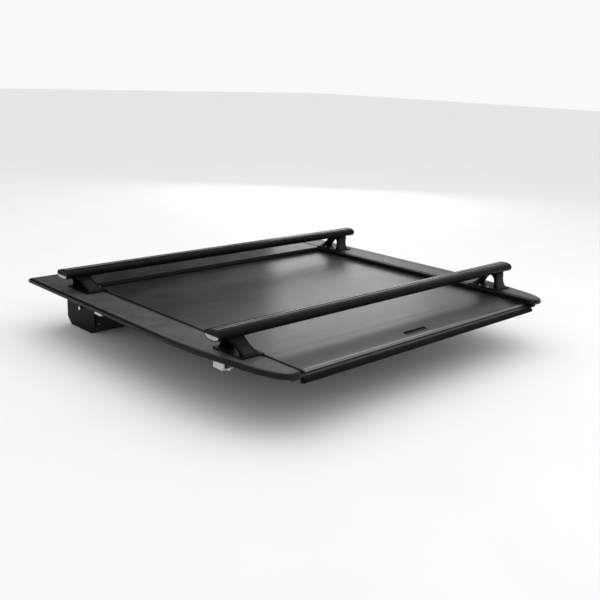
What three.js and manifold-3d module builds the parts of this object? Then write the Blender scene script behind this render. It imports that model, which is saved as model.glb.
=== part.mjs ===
// Roll-up tonneau cover for a pickup tub, with slotted side rails and two load bars.
// Millimetres. +X is the truck's right, +Y runs to the cab, +Z is up.
// The origin is the middle of the tub's rear edge, on the plane of the tub's side flanges.

import * as THREE from 'three';
import { mergeVertices } from 'three/addons/utils/BufferGeometryUtils.js';
import Module from 'manifold-3d';

const wasm = await Module();
wasm.setup();

// ---- Clearances ----
const FIT = 0.3; // between pieces that touch
const RUN = 0.8; // a sliding piece in its guide, each side
const TURN = 0.4; // a pin in its hole, on radius

// ---- Overall sizes ----
const COVER_LENGTH = 1492; // rear face of the corner mouldings to the cab end
const OVERALL_WIDTH = 1624; // over the two rail caps
const CURTAIN_WIDTH = 1310; // clear width between the rails' inner faces
const REAR_OVERHANG = 6; // corner mouldings behind the tub's rear edge
const RAIL_TOP = 20; // rail top above the tub flange
const CURTAIN_STEP = 20; // rail top down to the curtain's top
const SKIN = 1; // cover skin on top of the slats

// ---- Side rails ----
const RAIL_END_GAP = 16; // rear edge of the caps to the track and ledge below them
const RAIL_WALL = 3.5;
const TRACK_DEPTH = 35; // how far the curtain's edge runs inside the rail
const SLAT_THICKNESS = 9;
const SLOT_MOUTH = 10; // T-slot opening
const SLOT_CAVITY = 19;
const SLOT_LIP = 3.5;
const SLOT_DEPTH = 8;
const SLOT_SETBACK = 7; // inner face to the slot's mouth
const SKIRT_DEPTH = 18; // strikes below the track that the latch bolts enter
const SKIRT_WALL = 3;
const STRIKE_LENGTH = 24;
const STRIKE_COUNT = 3; // closed, half open and open
const LEDGE_OUT = 72; // ledge that lies on the tub flange
const SEAL_THICKNESS = 3;
const RIB = 3;
const RIB_INSET = 24; // inner rib, from the track's back wall
const WIPER_REACH = 4.5;
const WIPER_HEIGHT = 12;
const WIPER_PROFILE = [[0, 0.25], [0, 1], [0.36, 1], [0.5, 0.42], [1, 0.05], [0.82, 0]];
const WIPER_SETBACK = 4;

// ---- Rail caps ----
const CAP_WALL = 4;
const CAP_ROUND = 12; // radius of the outer top edge
const CAP_LIFT = 0.5; // lip above the tub's paint
const TAPER_LENGTH = 400; // the outer edge draws in towards the rear corner
const TAPER_INSET = 44;
const CORNER_LENGTH = 126;
const CORNER_INSET = 112;
const TAPER_EASE = [0.35, 0.34, 0.2]; // handles of the taper's curve, as parts of its length and inset
const CORNER_EASE = [0.08, 0.4, 0.33]; // the same for the corner
const CAP_DEEP = 64; // the cap is modelled to here, then trimmed at the paint

// ---- Canister ----
const CANISTER_DEPTH = 224;
const CANISTER_BOTTOM = 203; // below the tub flange
const CANISTER_WALL = 2.5;
const END_PLATE = 8;
const END_INSET = 11; // end plate's outer face inside the rail's inner face
const LID_REACH = 6; // lid past the canister, front and rear; also its overhang
const LID_WALL = 4;
const MOUTH_GAP = 3; // lid's lip above the curtain
const FLANGE_REACH = 46; // end plate's fixing flange under the rail
const FLANGE_WALL = 4;
const CANISTER_CHAMFER = 30;
const LID_ROUND = 3;
const ROUND_MIDDLE = 0.3; // where a rounded corner's middle point lies, as a part of its radius

// ---- Spool ----
const SPOOL_RADIUS = 30;
const SPOOL_WALL = 2.5;
const ROLL_RADIUS = 83; // wound curtain
const AXLE_RADIUS = 8;
const BEARING_WIDTH = 14;
const BEARING_INSET = 16;
const SPOOL_GAP = 6; // spool end to end plate, and wound curtain to trough
const SPRING_WIRE = 4.4;
const SPRING_MEAN_RADIUS = 18;
const SPRING_TURNS = 9;
const SPRING_PITCH = 24;
const SPRING_INSET = 20; // from the bearing

// ---- Curtain ----
const SLAT_COUNT = 17;
const SLAT_WEB = 2.2;
const TONGUE_REACH = 5;
const TONGUE = 2;
const CURTAIN_INSIDE = 50; // curtain kept inside the canister when it is closed
const LEADER_THICKNESS = 1.2;
const LEADER_INSET = 23; // from the rail's inner face
const LEADER_EASE = [0.75, 0.9]; // how far its two bends reach along it
const EDGE_GAP = 2; // slat ends to the track's back wall

// ---- Tail bar and latch ----
const TAIL_REAR = 14; // rear face, from the tub's rear edge
const TAIL_DEPTH = 188;
const TAIL_DROP = 8; // how far the deck falls towards the rear
const TAIL_HOOK = 30; // rear wall down to here
const TAIL_DECK = 4; // deck thickness at its lowest line
const TAIL_SIDE_GAP = 2; // tail bar to the rails' inner faces
const TAIL_FLAT = 34; // flat part of the deck behind the first slat
const GUIDE_SETBACK = 30; // rear face to the track guides
const BEAD_WIDTH = 22;
const BEAD_HEIGHT = 7;
const BEAD_SETBACK = 16;
const BEAD_APRON = 14; // level part of the deck in front of the bead
const BEAD_PROFILE = [[1, -0.07], [0.95, 0.6], [0.73, 0.95], [0.5, 1], [0.18, 0.8], [0, 0.4], [0, 0]];
const SEAL_REACH = 18;
const SEAL_HEIGHT = 19;
const SEAL_INSET = 5;
const SEAL_PROFILE = [[0, 0], [0.33, 0], [0.67, 0.16], [1, 0.47], [1, 0.79], [0.67, 1], [0, 1]];
const HANDLE_LENGTH = 108;
const HANDLE_SLOT = 16; // opening across the deck
const HANDLE_SETBACK = 69.5; // rear face to the slot's rear edge
const PIVOT_SETBACK = 104;
const PIVOT_DROP = 24;
const PIVOT_RADIUS = 3;
const PIN_REACH = 9; // handle's pins past its ends
const PADDLE = 4; // handle's thickness
const HOUSING_REACH = 20; // handle's housing past its ends
const LIP = 5;
const LIP_RISE = 3; // finger lip above the deck
const LUG_WALL = 4;
const LUG_RIM = 5; // round a lug's hole
const LUG_MIDDLE_X = 250;
const LUG_INSET = 15; // outer lug, from the rail's inner face
const BOLT_SETBACK = 126;
const BOLT_RADIUS = 5.5;
const BOLT_REACH = 13; // past the rail's inner face when locked
const BOLT_INNER = 22; // bolt's inner end, past the handle
const STOP_GAP = 4; // tail bar to lid when the cover is open

// ---- Load bars ----
const BAR_LENGTH = 1630;
const BAR_DEPTH = 74;
const BAR_HEIGHT = 36;
const BAR_RISE = 75; // rail top to the bar's middle
const BAR_WALL = 2.6;
const BAR_SQUARENESS = 0.78; // 1 is an ellipse, smaller is squarer
const BAR_SIDES = 26;
const BAR_REAR_Y = 250;
const BAR_FRONT_SETBACK = 296; // from the cab end
const BAR_CAP = 10;
const FOOT_LENGTH = 150;
const FOOT_WIDTH = 92;
const FOOT_BODY_WIDTH = 60;
const FOOT_TOP_LENGTH = 70;
const FOOT_TOP_WIDTH = 50;
const FOOT_LEAN = 28; // top centre outboard of the base's
const FOOT_FLARE = [8, 14]; // where the legs' curve turns, in from the top's edge and up from the base
const FOOT_BASE = 5;
const FOOT_BASE_MARGIN = 6; // base past the body, lengthways
const FOOT_SETBACK = 5; // rail's inner face to the foot
const ARCH_WIDTH = 84;
const ARCH_HEIGHT = 46;
const ARCH_EASE = 0.36; // roundness of the arch's shoulders
const RUNNER_LENGTH = 60;

// ---- Tub clamps ----
const CLAMP_REAR_Y = 330;
const CLAMP_FRONT_SETBACK = 170; // from the canister
const CLAMP_WIDTH = 50;
const CLAMP_WALL = 5;
const CLAMP_DROP = 60;
const CLAMP_REACH = 70;
const CLAMP_TIP = 8;
const FLANGE_GAP = 8; // clamp tip below the flange plane

// ---- Modelling allowances ----
const SINK = 0.5; // a piece sunk into its neighbour before the two are joined
const PAST = 1; // a cutter past the face it cuts
const FAR = 99; // a cutter well past the part

// ---- Places worked out from the sizes ----
const REAR_Y = -REAR_OVERHANG;
const CAB_Y = REAR_Y + COVER_LENGTH;
const RAIL_REAR_Y = REAR_Y + RAIL_END_GAP;
const INNER_X = CURTAIN_WIDTH / 2;
const CAP_OUTER_X = OVERALL_WIDTH / 2;
const CURTAIN_Z = RAIL_TOP - CURTAIN_STEP;
const SLAT_TOP = CURTAIN_Z - SKIN;
const SLAT_BOTTOM = SLAT_TOP - SLAT_THICKNESS;
const TRACK_TOP = CURTAIN_Z + RUN;
const TRACK_BOTTOM = SLAT_BOTTOM - RUN;
const RAIL_BOTTOM = TRACK_BOTTOM - RAIL_WALL;
const BLOCK_WIDTH = SLOT_SETBACK + (SLOT_MOUTH + SLOT_CAVITY) / 2 + 2.5;
const TRACK_BACK = TRACK_DEPTH + SKIRT_WALL;
const CANISTER_FRONT_Y = CAB_Y - LID_REACH - FIT;
const CANISTER_REAR_Y = CANISTER_FRONT_Y - CANISTER_DEPTH;
const LID_REAR_Y = CANISTER_REAR_Y - LID_REACH;
const TAIL_FRONT_Y = TAIL_REAR + TAIL_DEPTH;
const ANCHOR_Y = CANISTER_REAR_Y + CURTAIN_INSIDE;
const SLAT_PITCH = (ANCHOR_Y - TAIL_FRONT_Y) / SLAT_COUNT;
const TRAVEL = LID_REAR_Y - STOP_GAP - TAIL_FRONT_Y;
const EDGE_X = INNER_X + TRACK_DEPTH - EDGE_GAP;
const SPOOL_Y = (CANISTER_REAR_Y + CANISTER_FRONT_Y) / 2;
const SPOOL_Z = -CANISTER_BOTTOM + CANISTER_WALL + ROLL_RADIUS + SPOOL_GAP;
const END_OUTER_X = INNER_X - END_INSET;
const END_INNER_X = END_OUTER_X - END_PLATE;
const SPOOL_END_X = END_INNER_X - SPOOL_GAP;
const BAR_FRONT_Y = CAB_Y - BAR_FRONT_SETBACK;
const BAR_Z = RAIL_TOP + BAR_RISE;
const BOLT_Y = TAIL_REAR + BOLT_SETBACK;
const BOLT_Z = RAIL_BOTTOM - SKIRT_DEPTH / 2;

// ---- Finishes ----
const finish = (color, roughness, metalness) =>
  new THREE.MeshStandardMaterial({ color, roughness, metalness });

const railBlack = finish(0x2c2d2f, 0.5, 0.5);
const capBlack = finish(0x35363a, 0.55, 0.0);
const skinBlack = finish(0x1b1c1e, 0.6, 0.0);
const rubberBlack = finish(0x0c0c0d, 0.85, 0.0);
const slatGrey = finish(0x3a3b3d, 0.45, 0.8);
const boltSteel = finish(0xa6a8aa, 0.35, 1.0);
const springSteel = finish(0x5a5b5e, 0.4, 1.0);
const barBlack = finish(0x17181a, 0.45, 0.6);
const plasticBlack = finish(0x111214, 0.5, 0.0);

// ---- Shape helpers ----

/** A closed outline, from [a, b] pairs, as a THREE.Shape that runs anticlockwise. */
function outline(points) {
  const corners = points.map(([a, b]) => new THREE.Vector2(a, b));
  return new THREE.Shape(THREE.ShapeUtils.isClockWise(corners) ? corners.reverse() : corners);
}

/** Sweeps a (y, z) outline along X, from x0 to x1. */
function alongX(points, x0, x1, holes = []) {
  const shape = points instanceof THREE.Shape ? points : outline(points);
  holes.forEach((hole) => shape.holes.push(outline(hole)));
  const geometry = new THREE.ExtrudeGeometry(shape, { depth: x1 - x0, bevelEnabled: false });
  const turn = new THREE.Matrix4().set(0, 0, 1, x0, 1, 0, 0, 0, 0, 1, 0, 0, 0, 0, 0, 1);
  return geometry.applyMatrix4(turn);
}

/** Sweeps an (x, z) outline along Y, from y0 to y1. */
function alongY(points, y0, y1) {
  const geometry = new THREE.ExtrudeGeometry(outline(points), { depth: y1 - y0, bevelEnabled: false });
  const turn = new THREE.Matrix4().set(1, 0, 0, 0, 0, 0, -1, y1, 0, 1, 0, 0, 0, 0, 0, 1);
  return geometry.applyMatrix4(turn);
}

/** A box between two corners. */
function block(x0, x1, y0, y1, z0, z1) {
  const low = [Math.min(x0, x1), Math.min(y0, y1), Math.min(z0, z1)];
  const high = [Math.max(x0, x1), Math.max(y0, y1), Math.max(z0, z1)];
  const geometry = new THREE.BoxGeometry(high[0] - low[0], high[1] - low[1], high[2] - low[2]);
  return geometry.translate((high[0] + low[0]) / 2, (high[1] + low[1]) / 2, (high[2] + low[2]) / 2);
}

/** A round bar along X at (y, z). */
function roundX(radius, x0, x1, y, z, sides = 20) {
  const geometry = new THREE.CylinderGeometry(radius, radius, Math.abs(x1 - x0), sides);
  geometry.rotateZ(Math.PI / 2);
  return geometry.translate((x0 + x1) / 2, y, z);
}

/** A round tube along X at (y, z). */
function tubeX(outer, inner, x0, x1, y, z, sides = 32) {
  const half = Math.abs(x1 - x0) / 2;
  const wall = [[inner, -half], [outer, -half], [outer, half], [inner, half], [inner, -half]];
  const profile = wall.map(([r, h]) => new THREE.Vector2(r, h));
  const geometry = new THREE.LatheGeometry(profile, sides);
  geometry.rotateZ(Math.PI / 2);
  return geometry.translate((x0 + x1) / 2, y, z);
}

/** A three.js geometry as a manifold solid. */
function solid(geometry) {
  const bare = geometry.index ? geometry.toNonIndexed() : geometry.clone();
  bare.deleteAttribute('normal');
  bare.deleteAttribute('uv');
  const merged = mergeVertices(bare, 1e-4);
  return new wasm.Manifold(new wasm.Mesh({
    numProp: 3,
    vertProperties: new Float32Array(merged.attributes.position.array),
    triVerts: new Uint32Array(merged.index.array),
  }));
}

/** A manifold solid as a three.js geometry. */
function surface(body) {
  const { vertProperties, triVerts } = body.getMesh();
  const geometry = new THREE.BufferGeometry();
  geometry.setAttribute('position', new THREE.BufferAttribute(vertProperties, 3));
  geometry.setIndex(new THREE.BufferAttribute(triVerts, 1));
  geometry.computeVertexNormals();
  return geometry;
}

/** Joins the geometries in `add`, cuts away those in `cut`, and keeps what lies in `within`. */
function carve(add, cut = [], within = null) {
  let body = solid(add[0]);
  for (const geometry of add.slice(1)) {
    body = body.add(solid(geometry));
  }
  for (const geometry of cut) {
    body = body.subtract(solid(geometry));
  }
  return surface(within ? body.intersect(solid(within)) : body);
}

/** A named piece. */
function piece(name, geometry, material) {
  const mesh = new THREE.Mesh(geometry, material);
  mesh.name = name;
  return mesh;
}

/** Calls build(side, word) for the left (-1) and right (+1) side and returns what they make. */
function bothSides(build) {
  return [[-1, 'left'], [1, 'right']].flatMap(([side, word]) => build(side, word));
}

// ---- Side rails ----

/** (x, z) section of a rail: T-slot on top, curtain track inside, ledge on the flange. */
function railSection(side) {
  const slotLeft = SLOT_SETBACK + (SLOT_MOUTH - SLOT_CAVITY) / 2;
  const slotRight = slotLeft + SLOT_CAVITY;
  const mouthRight = SLOT_SETBACK + SLOT_MOUTH;
  const lipZ = RAIL_TOP - SLOT_LIP;
  const slotFloor = lipZ - SLOT_DEPTH;
  const shoulder = SEAL_THICKNESS + RAIL_WALL;
  const ribTop = RAIL_TOP - CAP_WALL - FIT;
  const innerRib = TRACK_BACK + RIB_INSET;
  const ledgeEnd = TRACK_BACK + LEDGE_OUT;
  const points = [
    [0, RAIL_TOP],
    [SLOT_SETBACK, RAIL_TOP],
    [SLOT_SETBACK, lipZ],
    [slotLeft, lipZ],
    [slotLeft, slotFloor],
    [slotRight, slotFloor],
    [slotRight, lipZ],
    [mouthRight, lipZ],
    [mouthRight, RAIL_TOP],
    [BLOCK_WIDTH, RAIL_TOP],
    [BLOCK_WIDTH, shoulder],
    [innerRib, shoulder],
    [innerRib, ribTop],
    [innerRib + RIB, ribTop],
    [innerRib + RIB, shoulder],
    [ledgeEnd - RIB, shoulder],
    [ledgeEnd - RIB, ribTop],
    [ledgeEnd, ribTop],
    [ledgeEnd, SEAL_THICKNESS],
    [TRACK_BACK, SEAL_THICKNESS],
    [TRACK_BACK, RAIL_BOTTOM],
    [SKIRT_WALL, RAIL_BOTTOM],
    [SKIRT_WALL, RAIL_BOTTOM - SKIRT_DEPTH],
    [0, RAIL_BOTTOM - SKIRT_DEPTH],
    [0, TRACK_BOTTOM],
    [TRACK_DEPTH, TRACK_BOTTOM],
    [TRACK_DEPTH, TRACK_TOP],
    [0, TRACK_TOP],
  ];
  return points.map(([u, z]) => [side * (INNER_X + u), z]);
}

/** The cap's outline in plan, drawn in by `inset` all round. */
function capPlan(side, inset) {
  const outer = CAP_OUTER_X - inset;
  const rear = REAR_Y + inset;
  const cab = CAB_Y - inset;
  const inner = INNER_X - 3 * CAP_ROUND;
  const cornerY = rear + CORNER_LENGTH;
  const taperY = cornerY + TAPER_LENGTH;
  const cornerX = outer - TAPER_INSET;
  const tipX = outer - CORNER_INSET;
  const shape = new THREE.Shape();
  shape.moveTo(side * inner, cab);
  shape.lineTo(side * outer, cab);
  shape.lineTo(side * outer, taperY);
  shape.bezierCurveTo(
    side * outer, taperY - TAPER_EASE[0] * TAPER_LENGTH,
    side * (cornerX + TAPER_EASE[1] * TAPER_INSET), cornerY + TAPER_EASE[2] * TAPER_LENGTH,
    side * cornerX, cornerY,
  );
  shape.bezierCurveTo(
    side * (cornerX - CORNER_EASE[0] * CORNER_INSET), cornerY - CORNER_EASE[1] * CORNER_LENGTH,
    side * (tipX + CORNER_EASE[2] * CORNER_INSET), rear,
    side * tipX, rear,
  );
  shape.lineTo(side * inner, rear);
  return shape;
}

/** The room under a cap that the rail and its seal may fill, clear of the cap's rounded wall. */
function underCap(side) {
  const plan = capPlan(side, CAP_ROUND + PAST);
  const room = new THREE.ExtrudeGeometry(plan, { depth: 2 * FAR, bevelEnabled: false });
  return room.translate(0, 0, -FAR);
}

/** Where a rail may be: under its cap, and in the strip beside the cap, out to the cap's rounded ends. */
function railRoom(side) {
  const strip = block(side * (INNER_X - PAST), side * (INNER_X + BLOCK_WIDTH), REAR_Y, CAB_Y, -FAR, FAR);
  const plate = roundedPlate(capPlan(side, 0), -CAP_DEEP, RAIL_TOP, CAP_ROUND);
  return carve([underCap(side), carve([plate], [], strip)]);
}

/** The extruded rail. Its skirt is milled away except for the strikes, each with a hole for a latch bolt. */
function sideRail(side) {
  const rail = alongY(railSection(side), REAR_Y, CAB_Y);
  const from = side * (INNER_X - PAST);
  const to = side * (INNER_X + SKIRT_WALL + PAST);
  const low = RAIL_BOTTOM - SKIRT_DEPTH - PAST;
  const beyond = side * (CAP_OUTER_X + PAST);
  const cuts = [block(from, beyond, REAR_Y - PAST, RAIL_REAR_Y, -FAR, CAP_LIFT)];
  let cleared = RAIL_REAR_Y - PAST;
  for (let stop = 0; stop < STRIKE_COUNT; stop += 1) {
    const y = BOLT_Y + (TRAVEL * stop) / (STRIKE_COUNT - 1);
    cuts.push(block(from, to, cleared, y - STRIKE_LENGTH / 2, low, RAIL_BOTTOM));
    cuts.push(roundX(BOLT_RADIUS + 2 * TURN, from, to, y, BOLT_Z, 16));
    cleared = y + STRIKE_LENGTH / 2;
  }
  cuts.push(block(from, to, cleared, CAB_Y + PAST, low, RAIL_BOTTOM));
  return carve([rail], cuts, railRoom(side));
}

/** A plan outline raised to `top`, with its upper edge rounded by `round`. */
function roundedPlate(shape, low, top, round) {
  const geometry = new THREE.ExtrudeGeometry(shape, {
    depth: top - low - 2 * round,
    bevelThickness: round,
    bevelSize: round,
    bevelOffset: -round,
    bevelSegments: 4,
    curveSegments: 10,
  });
  return geometry.translate(0, 0, low + round);
}

/** The moulded cap: a hollow plate whose lip wraps over the tub's edge and round the rear corner. */
function railCap(side) {
  const plate = roundedPlate(capPlan(side, 0), -CAP_DEEP, RAIL_TOP, CAP_ROUND);
  const innerTop = RAIL_TOP - CAP_WALL;
  const innerRound = CAP_ROUND - CAP_WALL;
  const hollow = roundedPlate(capPlan(side, CAP_WALL), -CAP_DEEP - CAP_ROUND, innerTop, innerRound);
  const away = side * (INNER_X - 4 * CAP_ROUND);
  const railSide = side * (INNER_X + BLOCK_WIDTH + FIT);
  const beyond = side * (CAP_OUTER_X + PAST);
  const [rear, cab] = [REAR_Y - PAST, CAB_Y + PAST];
  return carve([plate], [
    hollow,
    block(away, railSide, rear, cab, -FAR, FAR),
    block(away, beyond, rear, cab, -FAR, CAP_LIFT),
  ]);
}

/** The closed-cell strip between a rail's ledge and the tub flange. */
function railSeal(side) {
  const from = side * (INNER_X + TRACK_BACK + 2);
  const to = side * (INNER_X + TRACK_BACK + LEDGE_OUT - 2);
  const strip = block(from, to, RAIL_REAR_Y + 2, CAB_Y, 0, SEAL_THICKNESS - FIT);
  return carve([strip], [], underCap(side));
}

/** The rubber lip on a rail's inner face, just above the curtain. */
function trackWiper(side) {
  const low = TRACK_TOP + RUN;
  const reach = WIPER_REACH - FIT;
  const inner = INNER_X - FIT;
  const section = WIPER_PROFILE.map(([u, v]) => [side * (inner - u * reach), low + v * WIPER_HEIGHT]);
  return alongY(section, RAIL_REAR_Y + WIPER_SETBACK, LID_REAR_Y - FIT);
}

function buildRails() {
  return bothSides((side, word) => [
    piece(`side_rail_${word}`, sideRail(side), railBlack),
    piece(`rail_cap_${word}`, railCap(side), capBlack),
    piece(`rail_seal_${word}`, railSeal(side), rubberBlack),
    piece(`track_wiper_${word}`, trackWiper(side), rubberBlack),
  ]);
}

// ---- Tub clamps ----

/** A C-shaped clamp under a rail; its tip presses up on the tub flange. */
function tubClamp(side, y) {
  const top = RAIL_BOTTOM - FIT;
  const bottom = -CLAMP_DROP;
  const back = SKIRT_WALL + PAST;
  const points = [
    [back, top],
    [TRACK_BACK, top],
    [TRACK_BACK, top - CLAMP_WALL],
    [back + CLAMP_WALL, top - CLAMP_WALL],
    [back + CLAMP_WALL, bottom + CLAMP_WALL],
    [CLAMP_REACH - CLAMP_TIP, bottom + CLAMP_WALL],
    [CLAMP_REACH - CLAMP_TIP, -FLANGE_GAP],
    [CLAMP_REACH, -FLANGE_GAP],
    [CLAMP_REACH, bottom],
    [back, bottom],
  ];
  const section = points.map(([u, z]) => [side * (INNER_X + u), z]);
  return alongY(section, y - CLAMP_WIDTH / 2, y + CLAMP_WIDTH / 2);
}

function buildClamps() {
  const frontY = CANISTER_REAR_Y - CLAMP_FRONT_SETBACK;
  return bothSides((side, word) => [
    piece(`tub_clamp_rear_${word}`, tubClamp(side, CLAMP_REAR_Y), boltSteel),
    piece(`tub_clamp_front_${word}`, tubClamp(side, frontY), boltSteel),
  ]);
}

// ---- Canister ----

/** The trough that holds the wound curtain, folded from one sheet. */
function canisterBody() {
  const rear = CANISTER_REAR_Y;
  const front = CANISTER_FRONT_Y;
  const wall = CANISTER_WALL;
  const bottom = -CANISTER_BOTTOM;
  const chamfer = CANISTER_CHAMFER;
  const mouth = TRACK_BOTTOM - 2 * RUN;
  const lidUnder = RAIL_TOP - LID_WALL - FIT;
  const points = [
    [rear, mouth],
    [rear, bottom + chamfer],
    [rear + chamfer, bottom],
    [front - chamfer, bottom],
    [front, bottom + chamfer],
    [front, lidUnder],
    [front - wall, lidUnder],
    [front - wall, bottom + chamfer + wall / 2],
    [front - chamfer - wall / 2, bottom + wall],
    [rear + chamfer + wall / 2, bottom + wall],
    [rear + wall, bottom + chamfer + wall / 2],
    [rear + wall, mouth],
  ];
  return alongX(points, -END_INNER_X + FIT, END_INNER_X - FIT);
}

/** The lid, level with the rail tops, with a lip that drops to the curtain. */
function canisterLid() {
  const lip = CURTAIN_Z + MOUTH_GAP;
  const round = LID_ROUND;
  const middle = round * ROUND_MIDDLE;
  const points = [
    [LID_REAR_Y, lip],
    [LID_REAR_Y, RAIL_TOP - round],
    [LID_REAR_Y + middle, RAIL_TOP - middle],
    [LID_REAR_Y + round, RAIL_TOP],
    [CAB_Y - round, RAIL_TOP],
    [CAB_Y - middle, RAIL_TOP - middle],
    [CAB_Y, RAIL_TOP - round],
    [CAB_Y, lip],
    [CAB_Y - LID_WALL, lip],
    [CAB_Y - LID_WALL, RAIL_TOP - LID_WALL],
    [LID_REAR_Y + LID_WALL, RAIL_TOP - LID_WALL],
    [LID_REAR_Y + LID_WALL, lip],
  ];
  return alongX(points, -INNER_X + FIT, INNER_X - FIT);
}

/** A canister end: plate, axle hole and the flange that bolts up under the rail. */
function canisterEnd(side) {
  const top = RAIL_BOTTOM - FIT;
  const rear = CANISTER_REAR_Y + FIT;
  const front = CANISTER_FRONT_Y;
  const outlinePoints = [
    [rear, top],
    [rear, -CANISTER_BOTTOM + CANISTER_CHAMFER],
    [rear + CANISTER_CHAMFER, -CANISTER_BOTTOM],
    [front - CANISTER_CHAMFER, -CANISTER_BOTTOM],
    [front, -CANISTER_BOTTOM + CANISTER_CHAMFER],
    [front, top],
  ];
  const [from, to] = [side * END_INNER_X, side * END_OUTER_X];
  const plate = alongX(outlinePoints, Math.min(from, to), Math.max(from, to));
  const flangeTo = side * (END_OUTER_X + FLANGE_REACH);
  const flange = block(to - side * SINK, flangeTo, rear, front, top, top - FLANGE_WALL);
  const hole = roundX(AXLE_RADIUS + TURN, from - side * PAST, to + side * PAST, SPOOL_Y, SPOOL_Z);
  return carve([plate, flange], [hole]);
}

/** The torsion spring: a coil round the axle, inside the spool. */
function torsionSpring() {
  const start = -SPOOL_END_X + BEARING_INSET + BEARING_WIDTH + SPRING_INSET;
  class Coil extends THREE.Curve {
    getPoint(t, target = new THREE.Vector3()) {
      const turn = t * SPRING_TURNS * 2 * Math.PI;
      const y = SPOOL_Y + SPRING_MEAN_RADIUS * Math.cos(turn);
      const z = SPOOL_Z + SPRING_MEAN_RADIUS * Math.sin(turn);
      return target.set(start + t * SPRING_TURNS * SPRING_PITCH, y, z);
    }
  }
  const section = new THREE.Shape();
  section.absarc(0, 0, SPRING_WIRE / 2, 0, 2 * Math.PI);
  return new THREE.ExtrudeGeometry(section, {
    steps: SPRING_TURNS * 16,
    curveSegments: 6,
    extrudePath: new Coil(),
  });
}

/** The free end of the skin, from the last slat down to the spool. */
function curtainLeader() {
  const start = new THREE.Vector2(ANCHOR_Y + TONGUE_REACH + PAST, SLAT_TOP - SLAT_WEB);
  const end = new THREE.Vector2(SPOOL_Y, SPOOL_Z + SPOOL_RADIUS + LEADER_THICKNESS + FIT);
  const bend = new THREE.Vector2(start.x + (end.x - start.x) * LEADER_EASE[0], start.y);
  const drop = new THREE.Vector2(end.x - (end.x - start.x) * LEADER_EASE[1], end.y);
  const line = new THREE.CubicBezierCurve(start, bend, drop, end).getPoints(12);
  const lower = line.map((point) => [point.x, point.y - LEADER_THICKNESS]);
  const upper = line.map((point) => [point.x, point.y]);
  return alongX([...upper, ...lower.reverse()], -INNER_X + LEADER_INSET, INNER_X - LEADER_INSET);
}

function buildCanister() {
  const tubeInner = SPOOL_RADIUS - SPOOL_WALL;
  const bearingFrom = SPOOL_END_X - BEARING_INSET - BEARING_WIDTH;
  const bearingTo = SPOOL_END_X - BEARING_INSET;
  const ends = bothSides((side, word) => [
    piece(`canister_end_${word}`, canisterEnd(side), plasticBlack),
    piece(
      `spool_bearing_${word}`,
      tubeX(tubeInner - FIT, AXLE_RADIUS + FIT, side * bearingFrom, side * bearingTo, SPOOL_Y, SPOOL_Z),
      boltSteel,
    ),
  ]);
  const spool = tubeX(SPOOL_RADIUS, tubeInner, -SPOOL_END_X, SPOOL_END_X, SPOOL_Y, SPOOL_Z);
  const axle = roundX(AXLE_RADIUS, -END_OUTER_X - SPOOL_GAP, END_OUTER_X + SPOOL_GAP, SPOOL_Y, SPOOL_Z);
  return [
    piece('canister_body', canisterBody(), railBlack),
    piece('canister_lid', canisterLid(), railBlack),
    ...ends,
    piece('spool_tube', spool, slatGrey),
    piece('spool_axle', axle, boltSteel),
    piece('torsion_spring', torsionSpring(), springSteel),
    piece('curtain_leader', curtainLeader(), skinBlack),
  ];
}

// ---- Curtain ----

/** One slat: a ribbed strip whose front tongue runs under the next slat's rear edge. */
function slat(index) {
  const rear = TAIL_FRONT_Y + index * SLAT_PITCH + FIT / 2;
  const front = rear + SLAT_PITCH - FIT;
  const middle = (rear + front) / 2;
  const under = SLAT_TOP - SLAT_WEB;
  const rearRibZ = SLAT_BOTTOM + TONGUE + FIT;
  const points = [
    [rear, SLAT_TOP],
    [front, SLAT_TOP],
    [front, SLAT_BOTTOM + TONGUE],
    [front + TONGUE_REACH, SLAT_BOTTOM + TONGUE],
    [front + TONGUE_REACH, SLAT_BOTTOM],
    [front - SLAT_WEB, SLAT_BOTTOM],
    [front - SLAT_WEB, under],
    [middle + SLAT_WEB / 2, under],
    [middle + SLAT_WEB / 2, SLAT_BOTTOM],
    [middle - SLAT_WEB / 2, SLAT_BOTTOM],
    [middle - SLAT_WEB / 2, under],
    [rear + SLAT_WEB, under],
    [rear + SLAT_WEB, rearRibZ],
    [rear, rearRibZ],
  ];
  return alongX(points, -EDGE_X, EDGE_X);
}

function buildCurtain() {
  const slats = [];
  for (let index = 0; index < SLAT_COUNT; index += 1) {
    const number = String(index + 1).padStart(2, '0');
    slats.push(piece(`slat_${number}`, slat(index), slatGrey));
  }
  return slats;
}

// ---- Tail bar and latch ----

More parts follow.
